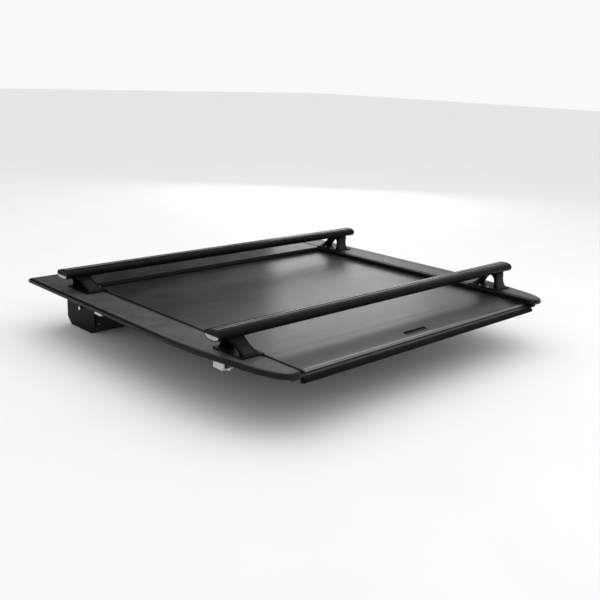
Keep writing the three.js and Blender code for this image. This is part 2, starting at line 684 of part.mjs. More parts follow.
/** (y, z) section of the tail bar between the rails. */
function tailSection() {
  const rear = TAIL_REAR;
  const front = TAIL_FRONT_Y - FIT / 2;
  const low = SLAT_TOP - TAIL_DROP;
  const beadRear = rear + BEAD_SETBACK;
  const dropFrom = TAIL_FRONT_Y - TAIL_FLAT;
  const dropTo = beadRear + BEAD_WIDTH + BEAD_APRON;
  const fall = [];
  const steps = 8;
  for (let step = 0; step <= steps; step += 1) {
    const t = step / steps;
    fall.push([dropFrom + (dropTo - dropFrom) * t, SLAT_TOP - TAIL_DROP * t * t * (2 - t)]);
  }
  const bead = BEAD_PROFILE.map(([u, v]) => [beadRear + u * BEAD_WIDTH, low + v * BEAD_HEIGHT]);
  const deckUnder = low - TAIL_DECK;
  return [
    [front, SLAT_TOP],
    ...fall,
    ...bead,
    [rear, low],
    [rear, -TAIL_HOOK],
    [rear + RAIL_WALL, -TAIL_HOOK],
    [rear + RAIL_WALL, deckUnder],
    [dropFrom - 2 * TAIL_DROP, deckUnder],
    [dropFrom - TAIL_DROP, SLAT_TOP - RAIL_WALL],
    [front - TONGUE_REACH, SLAT_TOP - RAIL_WALL],
    [front - TONGUE_REACH, SLAT_BOTTOM],
    [front + TONGUE_REACH, SLAT_BOTTOM],
    [front + TONGUE_REACH, SLAT_BOTTOM + TONGUE],
    [front, SLAT_BOTTOM + TONGUE],
  ];
}

/** A lug under the deck, with a hole for a pin or bolt that runs along X. */
function lug(x, y, z, radius) {
  const deckUnder = SLAT_TOP - TAIL_DROP - TAIL_DECK;
  const reach = radius + LUG_RIM;
  const half = LUG_WALL / 2;
  return {
    body: block(x - half, x + half, y - reach, y + reach, deckUnder + SINK, z - reach),
    hole: roundX(radius + TURN, x - half - PAST, x + half + PAST, y, z, 16),
  };
}

/** The whole tail bar: the curtain's stiff leading member, with guides that run in the rails' tracks. */
function tailBar() {
  const middleEnd = INNER_X - TAIL_SIDE_GAP;
  const middle = alongX(tailSection(), -middleEnd, middleEnd);
  const [guideRear, guideFront] = [TAIL_REAR + GUIDE_SETBACK, TAIL_FRONT_Y - FIT];
  const guides = bothSides((side) => [
    block(side * (middleEnd - 2), side * EDGE_X, guideRear, guideFront, SLAT_BOTTOM, SLAT_TOP - 0.01),
  ]);
  const pivotY = TAIL_REAR + PIVOT_SETBACK;
  const lugs = bothSides((side) => [
    lug(side * (HANDLE_LENGTH / 2 + LUG_WALL + 2), pivotY, -PIVOT_DROP, PIVOT_RADIUS),
    lug(side * LUG_MIDDLE_X, BOLT_Y, BOLT_Z, BOLT_RADIUS),
    lug(side * (INNER_X - LUG_INSET), BOLT_Y, BOLT_Z, BOLT_RADIUS),
  ]);
  const slotRear = TAIL_REAR + HANDLE_SETBACK;
  const slotHalf = HANDLE_LENGTH / 2 + LUG_WALL;
  const slot = block(-slotHalf, slotHalf, slotRear, slotRear + HANDLE_SLOT, -TAIL_HOOK, RAIL_TOP);
  const solids = [middle, ...guides, ...lugs.map(({ body }) => body)];
  return carve(solids, [slot, ...lugs.map(({ hole }) => hole)]);
}

/** The length of the tail bar from x0 to x1. */
function tailLength(x0, x1) {
  return carve([tailBar()], [], block(x0, x1, REAR_Y, CAB_Y, -FAR, FAR));
}

/** The rubber bulb along the tail bar's rear face that closes on the tailgate. */
function tailSeal() {
  const rear = TAIL_REAR - FIT;
  const top = SLAT_TOP - TAIL_DROP;
  const points = SEAL_PROFILE.map(([u, v]) => [rear - u * (SEAL_REACH - FIT), top - v * SEAL_HEIGHT]);
  return alongX(points, -INNER_X + SEAL_INSET, INNER_X - SEAL_INSET);
}

/** The pull handle: a paddle on two pins, with a finger lip that stands in the deck's slot. */
function latchHandle() {
  const pivotY = TAIL_REAR + PIVOT_SETBACK;
  const pivotZ = -PIVOT_DROP;
  const half = HANDLE_LENGTH / 2;
  const rear = TAIL_REAR + HANDLE_SETBACK + 2 * RUN;
  const lipTop = SLAT_TOP - TAIL_DROP + LIP_RISE;
  const paddle = [
    [rear, pivotZ - PADDLE / 2],
    [pivotY, pivotZ - PADDLE / 2],
    [pivotY, pivotZ + PADDLE / 2],
    [rear + LIP, pivotZ + PADDLE / 2],
    [rear + LIP, lipTop],
    [rear + 1, lipTop],
    [rear, lipTop - 1],
  ];
  return carve([
    alongX(paddle, -half, half),
    roundX(2 * PIVOT_RADIUS, -half, half, pivotY, pivotZ),
    roundX(PIVOT_RADIUS, -half - PIN_REACH, half + PIN_REACH, pivotY, pivotZ),
  ]);
}

function buildTail() {
  const bolts = bothSides((side, word) => {
    const from = side * (HANDLE_LENGTH / 2 + BOLT_INNER);
    const to = side * (INNER_X + BOLT_REACH);
    return [piece(`latch_bolt_${word}`, roundX(BOLT_RADIUS, from, to, BOLT_Y, BOLT_Z, 16), boltSteel)];
  });
  const housing = HANDLE_LENGTH / 2 + HOUSING_REACH;
  const lengths = bothSides((side, word) => [
    piece(`tail_bar_${word}`, tailLength(side * (housing + FIT), side * INNER_X * 2), railBlack),
  ]);
  return [
    piece('handle_housing', tailLength(-housing, housing), railBlack),
    ...lengths,
    piece('tail_seal', tailSeal(), rubberBlack),
    piece('latch_handle', latchHandle(), plasticBlack),
    ...bolts,
  ];
}

// ---- Load bars ----

/** A point on the bar's rounded section at `angle`, in the bar's own (y, z). */
function barPoint(angle, shrink = 0) {
  const c = Math.cos(angle);
  const s = Math.sin(angle);
  return [
    (BAR_DEPTH / 2 - shrink) * Math.sign(c) * Math.abs(c) ** BAR_SQUARENESS,
    (BAR_HEIGHT / 2 - shrink) * Math.sign(s) * Math.abs(s) ** BAR_SQUARENESS,
  ];
}

/** The bar's outline with its T-slot, and the hollow chambers, about (y, 0). */
function barSection(y) {
  const half = SLOT_MOUTH / 2;
  const cavity = SLOT_CAVITY / 2;
  const top = BAR_HEIGHT / 2;
  const lip = top - SLOT_LIP;
  const floor = lip - SLOT_DEPTH;
  const mouthAngle = Math.acos((half / (BAR_DEPTH / 2)) ** (1 / BAR_SQUARENESS));
  const round = [];
  const sweep = Math.PI + 2 * mouthAngle;
  for (let step = 0; step <= BAR_SIDES; step += 1) {
    round.push(barPoint(mouthAngle - (sweep * step) / BAR_SIDES));
  }
  const slot = [
    [-half, lip],
    [-cavity, lip],
    [-cavity, floor],
    [cavity, floor],
    [cavity, lip],
    [half, lip],
  ];
  const webX = cavity + BAR_WALL;
  const sideChamber = (sign) => {
    const chamber = [];
    for (let step = -4; step <= 4; step += 1) {
      chamber.push(barPoint((step * Math.PI) / 11, BAR_WALL));
    }
    const edge = chamber[chamber.length - 1][1] + SINK;
    chamber.push([webX, edge]);
    chamber.push([webX, -edge]);
    return chamber.map(([a, b]) => [sign * a, b]);
  };
  const underChamber = [
    [-cavity, floor - BAR_WALL],
    [cavity, floor - BAR_WALL],
    [cavity, -top + BAR_WALL + SINK],
    [-cavity, -top + BAR_WALL + SINK],
  ];
  const place = (points) => points.map(([a, b]) => [y + a, BAR_Z + b]);
  return {
    outer: place([...round, ...slot]),
    chambers: [sideChamber(1), sideChamber(-1), underChamber].map(place),
  };
}

/** The solid section that the bar's end caps share. */
function barEndSection(y) {
  const points = [];
  for (let step = 0; step < BAR_SIDES; step += 1) {
    const [a, b] = barPoint((2 * Math.PI * step) / BAR_SIDES);
    points.push([y + a, BAR_Z + b]);
  }
  return points;
}

/** A foot: two legs that curve out along the rail from under the bar and lean in to the rail's slot. */
function barFoot(side, y) {
  const low = RAIL_TOP + FIT;
  const high = BAR_Z - BAR_HEIGHT / 2 - FIT;
  const springing = low + FOOT_BASE;
  const crown = springing + ARCH_HEIGHT;
  const inner = INNER_X + FOOT_SETBACK;
  const outer = inner + FOOT_WIDTH;
  const centre = (inner + outer) / 2;
  const spread = FOOT_LENGTH / 2 - FOOT_BASE_MARGIN;
  const neck = FOOT_TOP_LENGTH / 2;
  const [turn, rise] = FOOT_FLARE;
  const legs = new THREE.Shape();
  legs.moveTo(y - spread, springing - SINK);
  legs.lineTo(y + spread, springing - SINK);
  legs.quadraticCurveTo(y + neck + turn, springing + rise, y + neck, high);
  legs.lineTo(y - neck, high);
  legs.quadraticCurveTo(y - neck - turn, springing + rise, y - spread, springing - SINK);
  const half = ARCH_WIDTH / 2;
  const shoulder = ARCH_WIDTH * ARCH_EASE;
  const arch = new THREE.Shape();
  arch.moveTo(y - half, springing);
  arch.lineTo(y + half, springing);
  arch.quadraticCurveTo(y + shoulder, crown, y, crown);
  arch.quadraticCurveTo(y - shoulder, crown, y - half, springing);
  const lean = [
    [centre - FOOT_BODY_WIDTH / 2, springing - PAST],
    [centre + FOOT_BODY_WIDTH / 2, springing - PAST],
    [centre + FOOT_LEAN + FOOT_TOP_WIDTH / 2, high + PAST],
    [centre + FOOT_LEAN - FOOT_TOP_WIDTH / 2, high + PAST],
  ].map(([x, z]) => [side * x, z]);
  const [from, to] = side > 0 ? [inner, outer + FOOT_LEAN] : [-outer - FOOT_LEAN, -inner];
  const leaning = alongY(lean, y - FOOT_LENGTH, y + FOOT_LENGTH);
  const body = carve([alongX(legs, from, to)], [alongX(arch, from - PAST, to + PAST)], leaning);
  const base = block(side * inner, side * outer, y - FOOT_LENGTH / 2, y + FOOT_LENGTH / 2, low, springing);
  return carve([body, base]);
}

/** The T-shaped runner in the rail's slot that a foot bolts down to. */
function slotRunner(side, y) {
  const mid = SLOT_SETBACK + SLOT_MOUTH / 2;
  const stem = SLOT_MOUTH / 2 - RUN;
  const head = SLOT_CAVITY / 2 - RUN;
  const lip = RAIL_TOP - SLOT_LIP;
  const floor = lip - SLOT_DEPTH;
  const points = [
    [mid - stem, RAIL_TOP],
    [mid + stem, RAIL_TOP],
    [mid + stem, lip - RUN],
    [mid + head, lip - RUN],
    [mid + head, floor + RUN],
    [mid - head, floor + RUN],
    [mid - head, lip - RUN],
    [mid - stem, lip - RUN],
  ];
  const section = points.map(([u, z]) => [side * (INNER_X + u), z]);
  return alongY(section, y - RUNNER_LENGTH / 2, y + RUNNER_LENGTH / 2);
}

function buildBar(place, y) {
  const { outer, chambers } = barSection(y);
  const half = BAR_LENGTH / 2 - BAR_CAP;
  const sides = bothSides((side, word) => [
    piece(
      `crossbar_cap_${place}_${word}`,
      alongX(
        barEndSection(y),
        Math.min(side * (half + FIT), side * (half + BAR_CAP)),
        Math.max(side * (half + FIT), side * (half + BAR_CAP)),
      ),
      plasticBlack,
    ),
    piece(`crossbar_foot_${place}_${word}`, barFoot(side, y), plasticBlack),
    piece(`slot_runner_${place}_${word}`, slotRunner(side, y), boltSteel),
  ]);
  return [piece(`crossbar_${place}`, alongX(outer, -half, half, chambers), barBlack), ...sides];
}

// ---- Assembly ----

const tonneauCover = new THREE.Group();
tonneauCover.add(
  ...buildRails(),
  ...buildClamps(),
  ...buildCanister(),
  ...buildCurtain(),
  ...buildTail(),
  ...buildBar('rear', BAR_REAR_Y),
  ...buildBar('front', BAR_FRONT_Y),
);

export default tonneauCover;
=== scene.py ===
"""Looks of a roll-up tonneau cover with slotted side rails and two load bars."""

import logging
import math
from collections.abc import Callable, Sequence
from dataclasses import dataclass, field
from enum import Enum
from typing import TypeAlias

import bmesh
import bpy
from mathutils import Matrix, Vector


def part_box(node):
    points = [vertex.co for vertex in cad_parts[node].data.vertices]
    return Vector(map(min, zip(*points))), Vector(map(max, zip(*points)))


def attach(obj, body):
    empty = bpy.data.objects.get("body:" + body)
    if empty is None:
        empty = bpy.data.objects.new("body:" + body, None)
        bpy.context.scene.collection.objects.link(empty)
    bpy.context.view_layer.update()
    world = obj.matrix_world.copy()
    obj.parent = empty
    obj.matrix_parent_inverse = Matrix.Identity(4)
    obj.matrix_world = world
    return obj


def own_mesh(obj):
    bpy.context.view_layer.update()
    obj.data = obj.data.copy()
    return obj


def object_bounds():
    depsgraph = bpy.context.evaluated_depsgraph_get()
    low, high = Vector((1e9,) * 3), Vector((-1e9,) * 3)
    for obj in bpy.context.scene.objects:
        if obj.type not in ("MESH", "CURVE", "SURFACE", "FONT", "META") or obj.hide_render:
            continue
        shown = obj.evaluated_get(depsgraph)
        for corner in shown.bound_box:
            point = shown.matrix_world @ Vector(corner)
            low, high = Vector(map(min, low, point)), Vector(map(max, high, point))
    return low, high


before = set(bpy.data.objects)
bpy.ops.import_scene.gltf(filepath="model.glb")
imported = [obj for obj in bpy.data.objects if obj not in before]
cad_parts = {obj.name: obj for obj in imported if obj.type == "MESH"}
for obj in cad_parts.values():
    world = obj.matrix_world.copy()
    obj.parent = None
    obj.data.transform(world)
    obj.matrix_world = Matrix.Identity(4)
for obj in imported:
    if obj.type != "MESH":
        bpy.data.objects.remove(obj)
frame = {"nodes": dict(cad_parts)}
cad_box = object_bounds()

LOG = logging.getLogger("tonneau_cover")

Colour = tuple[float, float, float]
Place = tuple[float, float, float]
Value: TypeAlias = "Signal | float | Sequence[float]"

MM = 0.001
HARD_EDGE = math.radians(32)


class Side(Enum):
    """The left and the right of the truck."""

    LEFT = -1
    RIGHT = 1

    @property
    def word(self) -> str:
        """The side's name as the pieces spell it."""
        return self.name.lower()


class Texture(Enum):
    """The small relief that a finish carries."""

    LEATHER = "pebbled vinyl"
    ORANGE_PEEL = "powder coat"
    MOULD_GRAIN = "spark-eroded mould"
    BRUSHED = "lines along the extrusion"
    SMOOTH = "faint waviness"


# ---- Shader graph ----


class Signal:
    """A shader socket that can be used in Python arithmetic, which adds Math nodes."""

    def __init__(self, graph: "Graph", socket: bpy.types.NodeSocket) -> None:
        """Wraps one output socket of a graph."""
        self.graph = graph
        self.socket = socket

    def _math(self, operation: str, *terms: Value, clamp: bool = False) -> "Signal":
        """One Math node over the terms, in order."""
        settings = {"operation": operation, "use_clamp": clamp}
        return self.graph.node("ShaderNodeMath", settings, dict(enumerate(terms)))

    def __add__(self, other: Value) -> "Signal":
        """self + other."""
        return self._math("ADD", self, other)

    def __radd__(self, other: Value) -> "Signal":
        """other + self."""
        return self._math("ADD", other, self)

    def __sub__(self, other: Value) -> "Signal":
        """self - other."""
        return self._math("SUBTRACT", self, other)

    def __rsub__(self, other: Value) -> "Signal":
        """other - self."""
        return self._math("SUBTRACT", other, self)

    def __mul__(self, other: Value) -> "Signal":
        """self * other."""
        return self._math("MULTIPLY", self, other)

    def __rmul__(self, other: Value) -> "Signal":
        """other * self."""
        return self._math("MULTIPLY", other, self)

    def __abs__(self) -> "Signal":
        """The size of self without its sign."""
        return self._math("ABSOLUTE", self)

    def above(self, level: float, width: float) -> "Signal":
        """A mask that rises from 0 at `level` to 1 at `level` + `width`."""
        settings = {"interpolation_type": "SMOOTHSTEP"}
        values = {"Value": self, "From Min": level, "From Max": level + width}
        return self.graph.node("ShaderNodeMapRange", settings, values)

    def clamped(self) -> "Signal":
        """self, kept between 0 and 1."""
        return self._math("ADD", self, 0.0, clamp=True)


class Graph:
    """The node tree of one material, with a Principled shader at its end."""

    def __init__(self, name: str) -> None:
        """Starts an empty material with that name."""
        self.material = bpy.data.materials.new(name)
        self.material.use_nodes = True
        self.tree = self.material.node_tree
        self.tree.nodes.clear()
        out = self.tree.nodes.new("ShaderNodeOutputMaterial")
        self.shader = self.tree.nodes.new("ShaderNodeBsdfPrincipled")
        self.tree.links.new(self.shader.outputs[0], out.inputs["Surface"])

    def node(self, kind: str, settings: dict | None = None, values: dict | None = None,
             output: str | int = 0) -> Signal:
        """Adds a node.

        Args:
            kind: the node's type.
            settings: its properties, such as a Math node's operation, set first.
            values: what goes into its sockets, by name or number: a constant or a Signal.
            output: the socket that is wanted.

        Returns:
            The output as a Signal.
        """
        made = self.tree.nodes.new(kind)
        for key, value in (settings or {}).items():
            setattr(made, key, value)
        for key, value in (values or {}).items():
            self.feed(made.inputs[key], value)
        return Signal(self, made.outputs[output])

    def feed(self, socket: bpy.types.NodeSocket, value: Value) -> None:
        """Links a Signal to a socket, or sets a constant on it."""
        if isinstance(value, Signal):
            self.tree.links.new(value.socket, socket)
        elif isinstance(value, (tuple, list)) and socket.type == "RGBA":
            socket.default_value = (*value[:3], 1.0)
        else:
            socket.default_value = value

    def place(self) -> Signal:
        """The point's place on the object, in metres, whatever the pose."""
        return self.node("ShaderNodeTexCoord", output="Object")

    def along(self, vector: Signal, axis: str) -> Signal:
        """One coordinate of a vector: "X", "Y" or "Z"."""
        return self.node("ShaderNodeSeparateXYZ", values={0: vector}, output=axis)

    def stretched(self, vector: Signal, scale: Place) -> Signal:
        """A vector scaled by a different amount on each axis."""
        return self.node("ShaderNodeVectorMath", {"operation": "MULTIPLY"}, {0: vector, 1: scale})

    def noise(self, vector: Signal, scale: float, detail: float = 3.0) -> Signal:
        """Cloudy noise with `scale` clouds a metre."""
        values = {"Vector": vector, "Scale": scale, "Detail": detail, "Roughness": 0.55}
        return self.node("ShaderNodeTexNoise", None, values)

    def cells(self, vector: Signal, scale: float, smooth: float = 0.35) -> Signal:
        """Distance from the middle of rounded cells, `scale` of them a metre."""
        settings = {"feature": "SMOOTH_F1"}
        values = {"Vector": vector, "Scale": scale, "Smoothness": smooth}
        return self.node("ShaderNodeTexVoronoi", settings, values, "Distance")

    def blend(self, mask: Value, first: Value, second: Value) -> Signal:
        """The first colour where the mask is 0 and the second where it is 1."""
        settings = {"data_type": "RGBA"}
        return self.node("ShaderNodeMix", settings, {0: mask, 6: first, 7: second}, 2)

    def bump(self, height: Signal, relief: float, normal: Signal | None = None) -> Signal:
        """A normal for a relief whose height from 0 to 1 is `relief` metres.

        Args:
            height: the relief, from 0 to 1.
            relief: what a height of 1 is, in metres.
            normal: the normal that the relief is laid over, if it isn't the surface's own.

        Returns:
            The new normal.
        """
        values = {"Height": height, "Distance": relief, "Strength": 1.0}
        if normal is not None:
            values["Normal"] = normal
        return self.node("ShaderNodeBump", None, values, "Normal")

    def relief(self, texture: Texture, place: Signal, grain: float) -> Signal:
        """The height of a texture with that grain size in metres."""
        if texture is Texture.LEATHER:
            pebbles = self.cells(place, 1 / grain)
            return 0.7 * pebbles + 0.3 * self.noise(place, 3 / grain, 2)
        if texture is Texture.MOULD_GRAIN:
            pits = self.cells(place, 1 / grain, 0.15)
            return 0.5 * pits + 0.5 * self.noise(place, 2 / grain, 2)
        if texture is Texture.BRUSHED:
            lines = self.stretched(place, (0.02, 1.0, 1.0))
            return self.noise(lines, 1 / grain, 2)
        if texture is Texture.ORANGE_PEEL:
            return self.noise(place, 1 / grain, 1)
        return self.noise(place, 0.5 / grain, 1)


# ---- Finishes ----


@dataclass(frozen=True)
class Finish:
    """A surface finish. Sizes are in metres and colours are linear."""

    slot: str
    colour: Colour
    second: Colour
    roughness: float
    texture: Texture
    grain: float
    relief: float
    metallic: float = 0.0
    specular: float = 0.5
    mottle: float = 0.11
    share: float = 0.6
    haze: float = 0.06
    dust: float = 0.05
    dust_colour: Colour = (0.30, 0.29, 0.27)

    def tint(self, graph: Graph, place: Signal, colour: Signal) -> Signal:
        """What a finish paints over its base colour; nothing unless a finish says so."""
        return colour

    def polish(self, graph: Graph, place: Signal, roughness: Signal) -> Signal:
        """What a finish changes in its roughness; nothing unless a finish says so."""
        return roughness

    def shape(self, graph: Graph, place: Signal, normal: Signal) -> Signal:
        """What a finish adds to its normal; nothing unless a finish says so."""
        return normal

    def made(self, name: str) -> bpy.types.Material:
        """Builds the material.

        Args:
            name: the material's name.

        Returns:
            The new material.
        """
        graph = Graph(name)
        place = graph.place()
        clouds = graph.noise(place, 1 / self.mottle, 4)
        colour = graph.blend(clouds.above(0.35, 0.3) * self.share, self.colour, self.second)
        facing = graph.along(graph.node("ShaderNodeNewGeometry", output="Normal"), "Z")
        settled = graph.noise(place, 2.3 / self.mottle, 5).above(0.42, 0.25)
        dust = facing.above(0.6, 0.4) * settled * self.dust
        colour = self.tint(graph, place, graph.blend(dust, colour, self.dust_colour))
        smears = graph.noise(place, 3.7 / self.mottle, 3)
        roughness = (smears - 0.5) * (2 * self.haze) + self.roughness + 0.6 * dust
        roughness = self.polish(graph, place, roughness).clamped()
        normal = graph.bump(graph.relief(self.texture, place, self.grain), self.relief)
        normal = self.shape(graph, place, normal)
        shader = graph.shader.inputs
        graph.feed(shader["Base Color"], colour)
        graph.feed(shader["Roughness"], roughness)
        graph.feed(shader["Normal"], normal)
        shader["Metallic"].default_value = self.metallic
        shader["Specular IOR Level"].default_value = self.specular
        return graph.material


@dataclass(frozen=True)
class VinylSkin(Finish):
    """Pebbled vinyl that shows the slats under it as faint bands."""

    slot: str = "cover_skin"
    colour: Colour = (0.011, 0.0115, 0.012)
    second: Colour = (0.016, 0.0165, 0.017)
    roughness: float = 0.37
    texture: Texture = Texture.LEATHER
    grain: float = 0.0011
    relief: float = 0.00007
    specular: float = 0.55
    mottle: float = 0.34
    share: float = 0.35
    haze: float = 0.02
    dust: float = 0.03
    streak: float = 0.03
    marks: float = 0.09
    mark_colour: Colour = (0.055, 0.056, 0.058)
    wave: float = 0.00022

    def tint(self, graph: Graph, place: Signal, colour: Signal) -> Signal:
        """Pale wipe marks that run across the truck."""
        marks = graph.noise(graph.stretched(place, (0.9, 9.0, 1.0)), 2.6, 5)
        return graph.blend(marks.above(0.5, 0.35) * self.marks, colour, self.mark_colour)

    def polish(self, graph: Graph, place: Signal, roughness: Signal) -> Signal:
        """Bands of sheen across the truck, where the skin rubs as it winds."""
        marks = graph.noise(graph.stretched(place, (0.6, 12.0, 1.0)), 2.0, 4)
        return roughness + (marks - 0.5) * (2 * self.streak)

    def shape(self, graph: Graph, place: Signal, normal: Signal) -> Signal:
        """Slow waves in the stretched skin."""
        waves = graph.noise(graph.stretched(place, (1.5, 7.0, 1.0)), 1.2, 1)
        return graph.bump(waves, self.wave, normal)


@dataclass(frozen=True)
class PowderCoat(Finish):
    """Satin black powder coat on the rails, tail bar and lid."""

    slot: str = "rail_alloy"
    colour: Colour = (0.012, 0.0122, 0.0125)
    second: Colour = (0.017, 0.0172, 0.0175)
    roughness: float = 0.40
    texture: Texture = Texture.ORANGE_PEEL
    grain: float = 0.0016
    relief: float = 0.00003
    specular: float = 0.22


@dataclass(frozen=True)
class BeadAlloy(Finish):
    """Charcoal anodised strip with a satin sheen, on the tail bar's bead."""

    slot: str = "bar_alloy"
    colour: Colour = (0.13, 0.132, 0.135)
    second: Colour = (0.17, 0.172, 0.175)
    roughness: float = 0.34
    texture: Texture = Texture.BRUSHED
    grain: float = 0.0006
    relief: float = 0.00001
    metallic: float = 1.0
    dust: float = 0.02


@dataclass(frozen=True)
class CapPlastic(Finish):
    """Grained dark grey cap, with painted shade: black colour where it turns down at its edge."""

    slot: str = "cap_plastic"
    colour: Colour = (0.052, 0.0525, 0.054)
    second: Colour = (0.064, 0.0645, 0.066)
    roughness: float = 0.44
    texture: Texture = Texture.MOULD_GRAIN
    grain: float = 0.0009
    relief: float = 0.00006
    # edge: painted shade, the near-black colour of the turned-down edge
    edge: Colour = (0.0020, 0.0020, 0.0021)
    specular: float = 0.16
    top: float = 0.020
    edge_shine: float = 0.12

    def _flat(self, graph: Graph, place: Signal) -> Signal:
        """A mask that is 1 on the flat top and 0 on the edge below it."""
        return graph.along(place, "Z").above(self.top - 2.6 * MM, 2.2 * MM)

    def tint(self, graph: Graph, place: Signal, colour: Signal) -> Signal:
        """Painted shade: black colour below the flat top, on the turned-down edge."""
        return graph.blend(self._flat(graph, place), self.edge, colour)

    def polish(self, graph: Graph, place: Signal, roughness: Signal) -> Signal:
        """The turned-down edge is smoother than the grained top."""
        return roughness - self.edge_shine * (1 - self._flat(graph, place))


@dataclass(frozen=True)
class Rubber(Finish):
    """Matt black rubber."""

    slot: str = "seal_rubber"
    colour: Colour = (0.0028, 0.0028, 0.0028)
    second: Colour = (0.0045, 0.0045, 0.0045)
    roughness: float = 0.72
    texture: Texture = Texture.SMOOTH
    grain: float = 0.0006
    relief: float = 0.00002
    specular: float = 0.05
    dust: float = 0.03


@dataclass(frozen=True)
class SlatAlloy(Finish):
    """Dark anodised slats and spool, under the skin."""

    slot: str = "slat_alloy"
    colour: Colour = (0.06, 0.061, 0.063)
    second: Colour = (0.085, 0.086, 0.088)
    roughness: float = 0.42
    texture: Texture = Texture.BRUSHED
    grain: float = 0.0004
    relief: float = 0.00002
    metallic: float = 1.0


@dataclass(frozen=True)
class ZincSteel(Finish):
    """Zinc-plated steel, with the cloudy spangle of the plating."""

    slot: str = "plated_steel"
    colour: Colour = (0.46, 0.47, 0.47)
    second: Colour = (0.62, 0.62, 0.60)
    roughness: float = 0.32
    texture: Texture = Texture.SMOOTH
    grain: float = 0.0010
    relief: float = 0.00002
    metallic: float = 1.0
    mottle: float = 0.012
    haze: float = 0.10


@dataclass(frozen=True)
class SpringSteel(Finish):
    """Oiled spring wire."""

    slot: str = "spring_steel"
    colour: Colour = (0.10, 0.10, 0.105)
    second: Colour = (0.16, 0.15, 0.14)
    roughness: float = 0.35
    texture: Texture = Texture.SMOOTH
    grain: float = 0.0008
    relief: float = 0.00002
    metallic: float = 1.0
    mottle: float = 0.02


@dataclass(frozen=True)
class BarAlloy(Finish):
    """Black anodised bar, with a painted highlight along the top lips of its slot, patchy like
    wear.
    """

    slot: str = "bar_alloy"
    colour: Colour = (0.0026, 0.0027, 0.0028)
    second: Colour = (0.0042, 0.0043, 0.0044)
    roughness: float = 0.27
    texture: Texture = Texture.BRUSHED
    grain: float = 0.0007
    relief: float = 0.00001
    specular: float = 0.05
    dust: float = 0.015
    middles: tuple[float, float] = (0.25, 1.19)
    lip: tuple[float, float] = (0.0049, 0.0078)
    lip_height: float = 0.1105
    # Painted highlight: the pale colour laid along the top lips of each slot
    bare: Colour = (0.34, 0.345, 0.35)

    def _lips(self, graph: Graph, place: Signal) -> Signal:
        """A mask that is 1 on the two lips of each bar's slot."""
        centre = sum(self.middles) / 2
        reach = (self.middles[1] - self.middles[0]) / 2
        off = abs(abs(graph.along(place, "Y") - centre) - reach)
        low, high = self.lip
        inside = off.above(low - 0.4 * MM, 0.3 * MM) * (1 - off.above(high, 0.5 * MM))
        top = graph.along(place, "Z").above(self.lip_height, 0.8 * MM)
        return inside * top

    def tint(self, graph: Graph, place: Signal, colour: Signal) -> Signal:
        """Painted highlight: paler top lips along each slot, broken up by wear where fittings are
        slid in.
        """
        wear_and_highlight = graph.noise(graph.stretched(place, (1.0, 4.0, 4.0)), 5, 2).above(0.25, 0.4)
        return graph.blend(self._lips(graph, place) * (0.55 + 0.3 * wear_and_highlight), colour, self.bare)


@dataclass(frozen=True)
class MouldedNylon(Finish):
    """Glass-filled black nylon: feet, bar ends, canister ends and pull handle."""

    slot: str = "moulded_plastic"
    colour: Colour = (0.0034, 0.0035, 0.0036)
    second: Colour = (0.0056, 0.0057, 0.0058)
    roughness: float = 0.42
    texture: Texture = Texture.MOULD_GRAIN
    grain: float = 0.0008
    relief: float = 0.00005
    specular: float = 0.06
    dust: float = 0.02


@dataclass(frozen=True)
class SatinSilver(Finish):
    """Satin silver trim on the bar ends."""

    slot: str = "plated_steel"
    colour: Colour = (0.36, 0.365, 0.37)
    second: Colour = (0.44, 0.445, 0.45)
    roughness: float = 0.34
    texture: Texture = Texture.BRUSHED
    grain: float = 0.0005
    relief: float = 0.00001
    metallic: float = 1.0
    mottle: float = 0.02


@dataclass(frozen=True)
class PanelBlack(Finish):
    """Glossier black cover panels on the feet."""

    slot: str = "moulded_plastic"
    colour: Colour = (0.003, 0.0031, 0.0032)
    second: Colour = (0.005, 0.0051, 0.0052)
    roughness: float = 0.26
    texture: Texture = Texture.SMOOTH
    grain: float = 0.0020
    relief: float = 0.00002
    specular: float = 0.12
    dust: float = 0.01


class Wardrobe:
    """Every finish as a material, made once and handed to the pieces that wear it."""

    def __init__(self, *finishes: Finish) -> None:
        """Makes the material of each finish."""
        self.slots = {type(finish): finish.slot for finish in finishes}
        self.materials = {type(finish): finish.made(type(finish).__name__) for finish in finishes}
        self.by_slot: dict[str, type[Finish]] = {}
        for finish in finishes:
            self.by_slot.setdefault(finish.slot, type(finish))

    def dress(self, piece: bpy.types.Object, finish: type[Finish]) -> None:
        """Puts a finish on a piece."""
        piece.data.materials.clear()
        piece.data.materials.append(self.materials[finish])

    def dress_frame(self, nodes: dict[str, bpy.types.Object]) -> None:
        """Gives each carried-over node the finish of its slot, without touching its shape."""
        for name, node in sorted(nodes.items()):
            for holder in node.material_slots:
                slot = (holder.material.name if holder.material else "").split(".")[0]
                finish = self.by_slot.get(slot)
                if finish is None:
                    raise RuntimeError(f"{name} has no finish for slot {slot!r}")
                holder.material = self.materials[finish]
            LOG.info("dressed %s", name)


# ---- Meshes ----


def softened(piece: bpy.types.Object, width: float, weld: bool = False) -> None:
    """Rounds a piece's hard edges with modifiers.

    Args:
        piece: the mesh object.
        width: how far each edge is rounded, in metres.
        weld: whether points that lie on each other are joined first.
    """
    if weld:
        joined = piece.modifiers.new("weld", "WELD")
        joined.merge_threshold = 0.01 * MM
    edges = piece.modifiers.new("edges", "BEVEL")
    edges.width = width
    edges.segments = 2
    edges.limit_method = "ANGLE"
    edges.angle_limit = HARD_EDGE
    edges.use_clamp_overlap = True
    normals = piece.modifiers.new("normals", "WEIGHTED_NORMAL")
    normals.keep_sharp = True
    normals.weight = 80


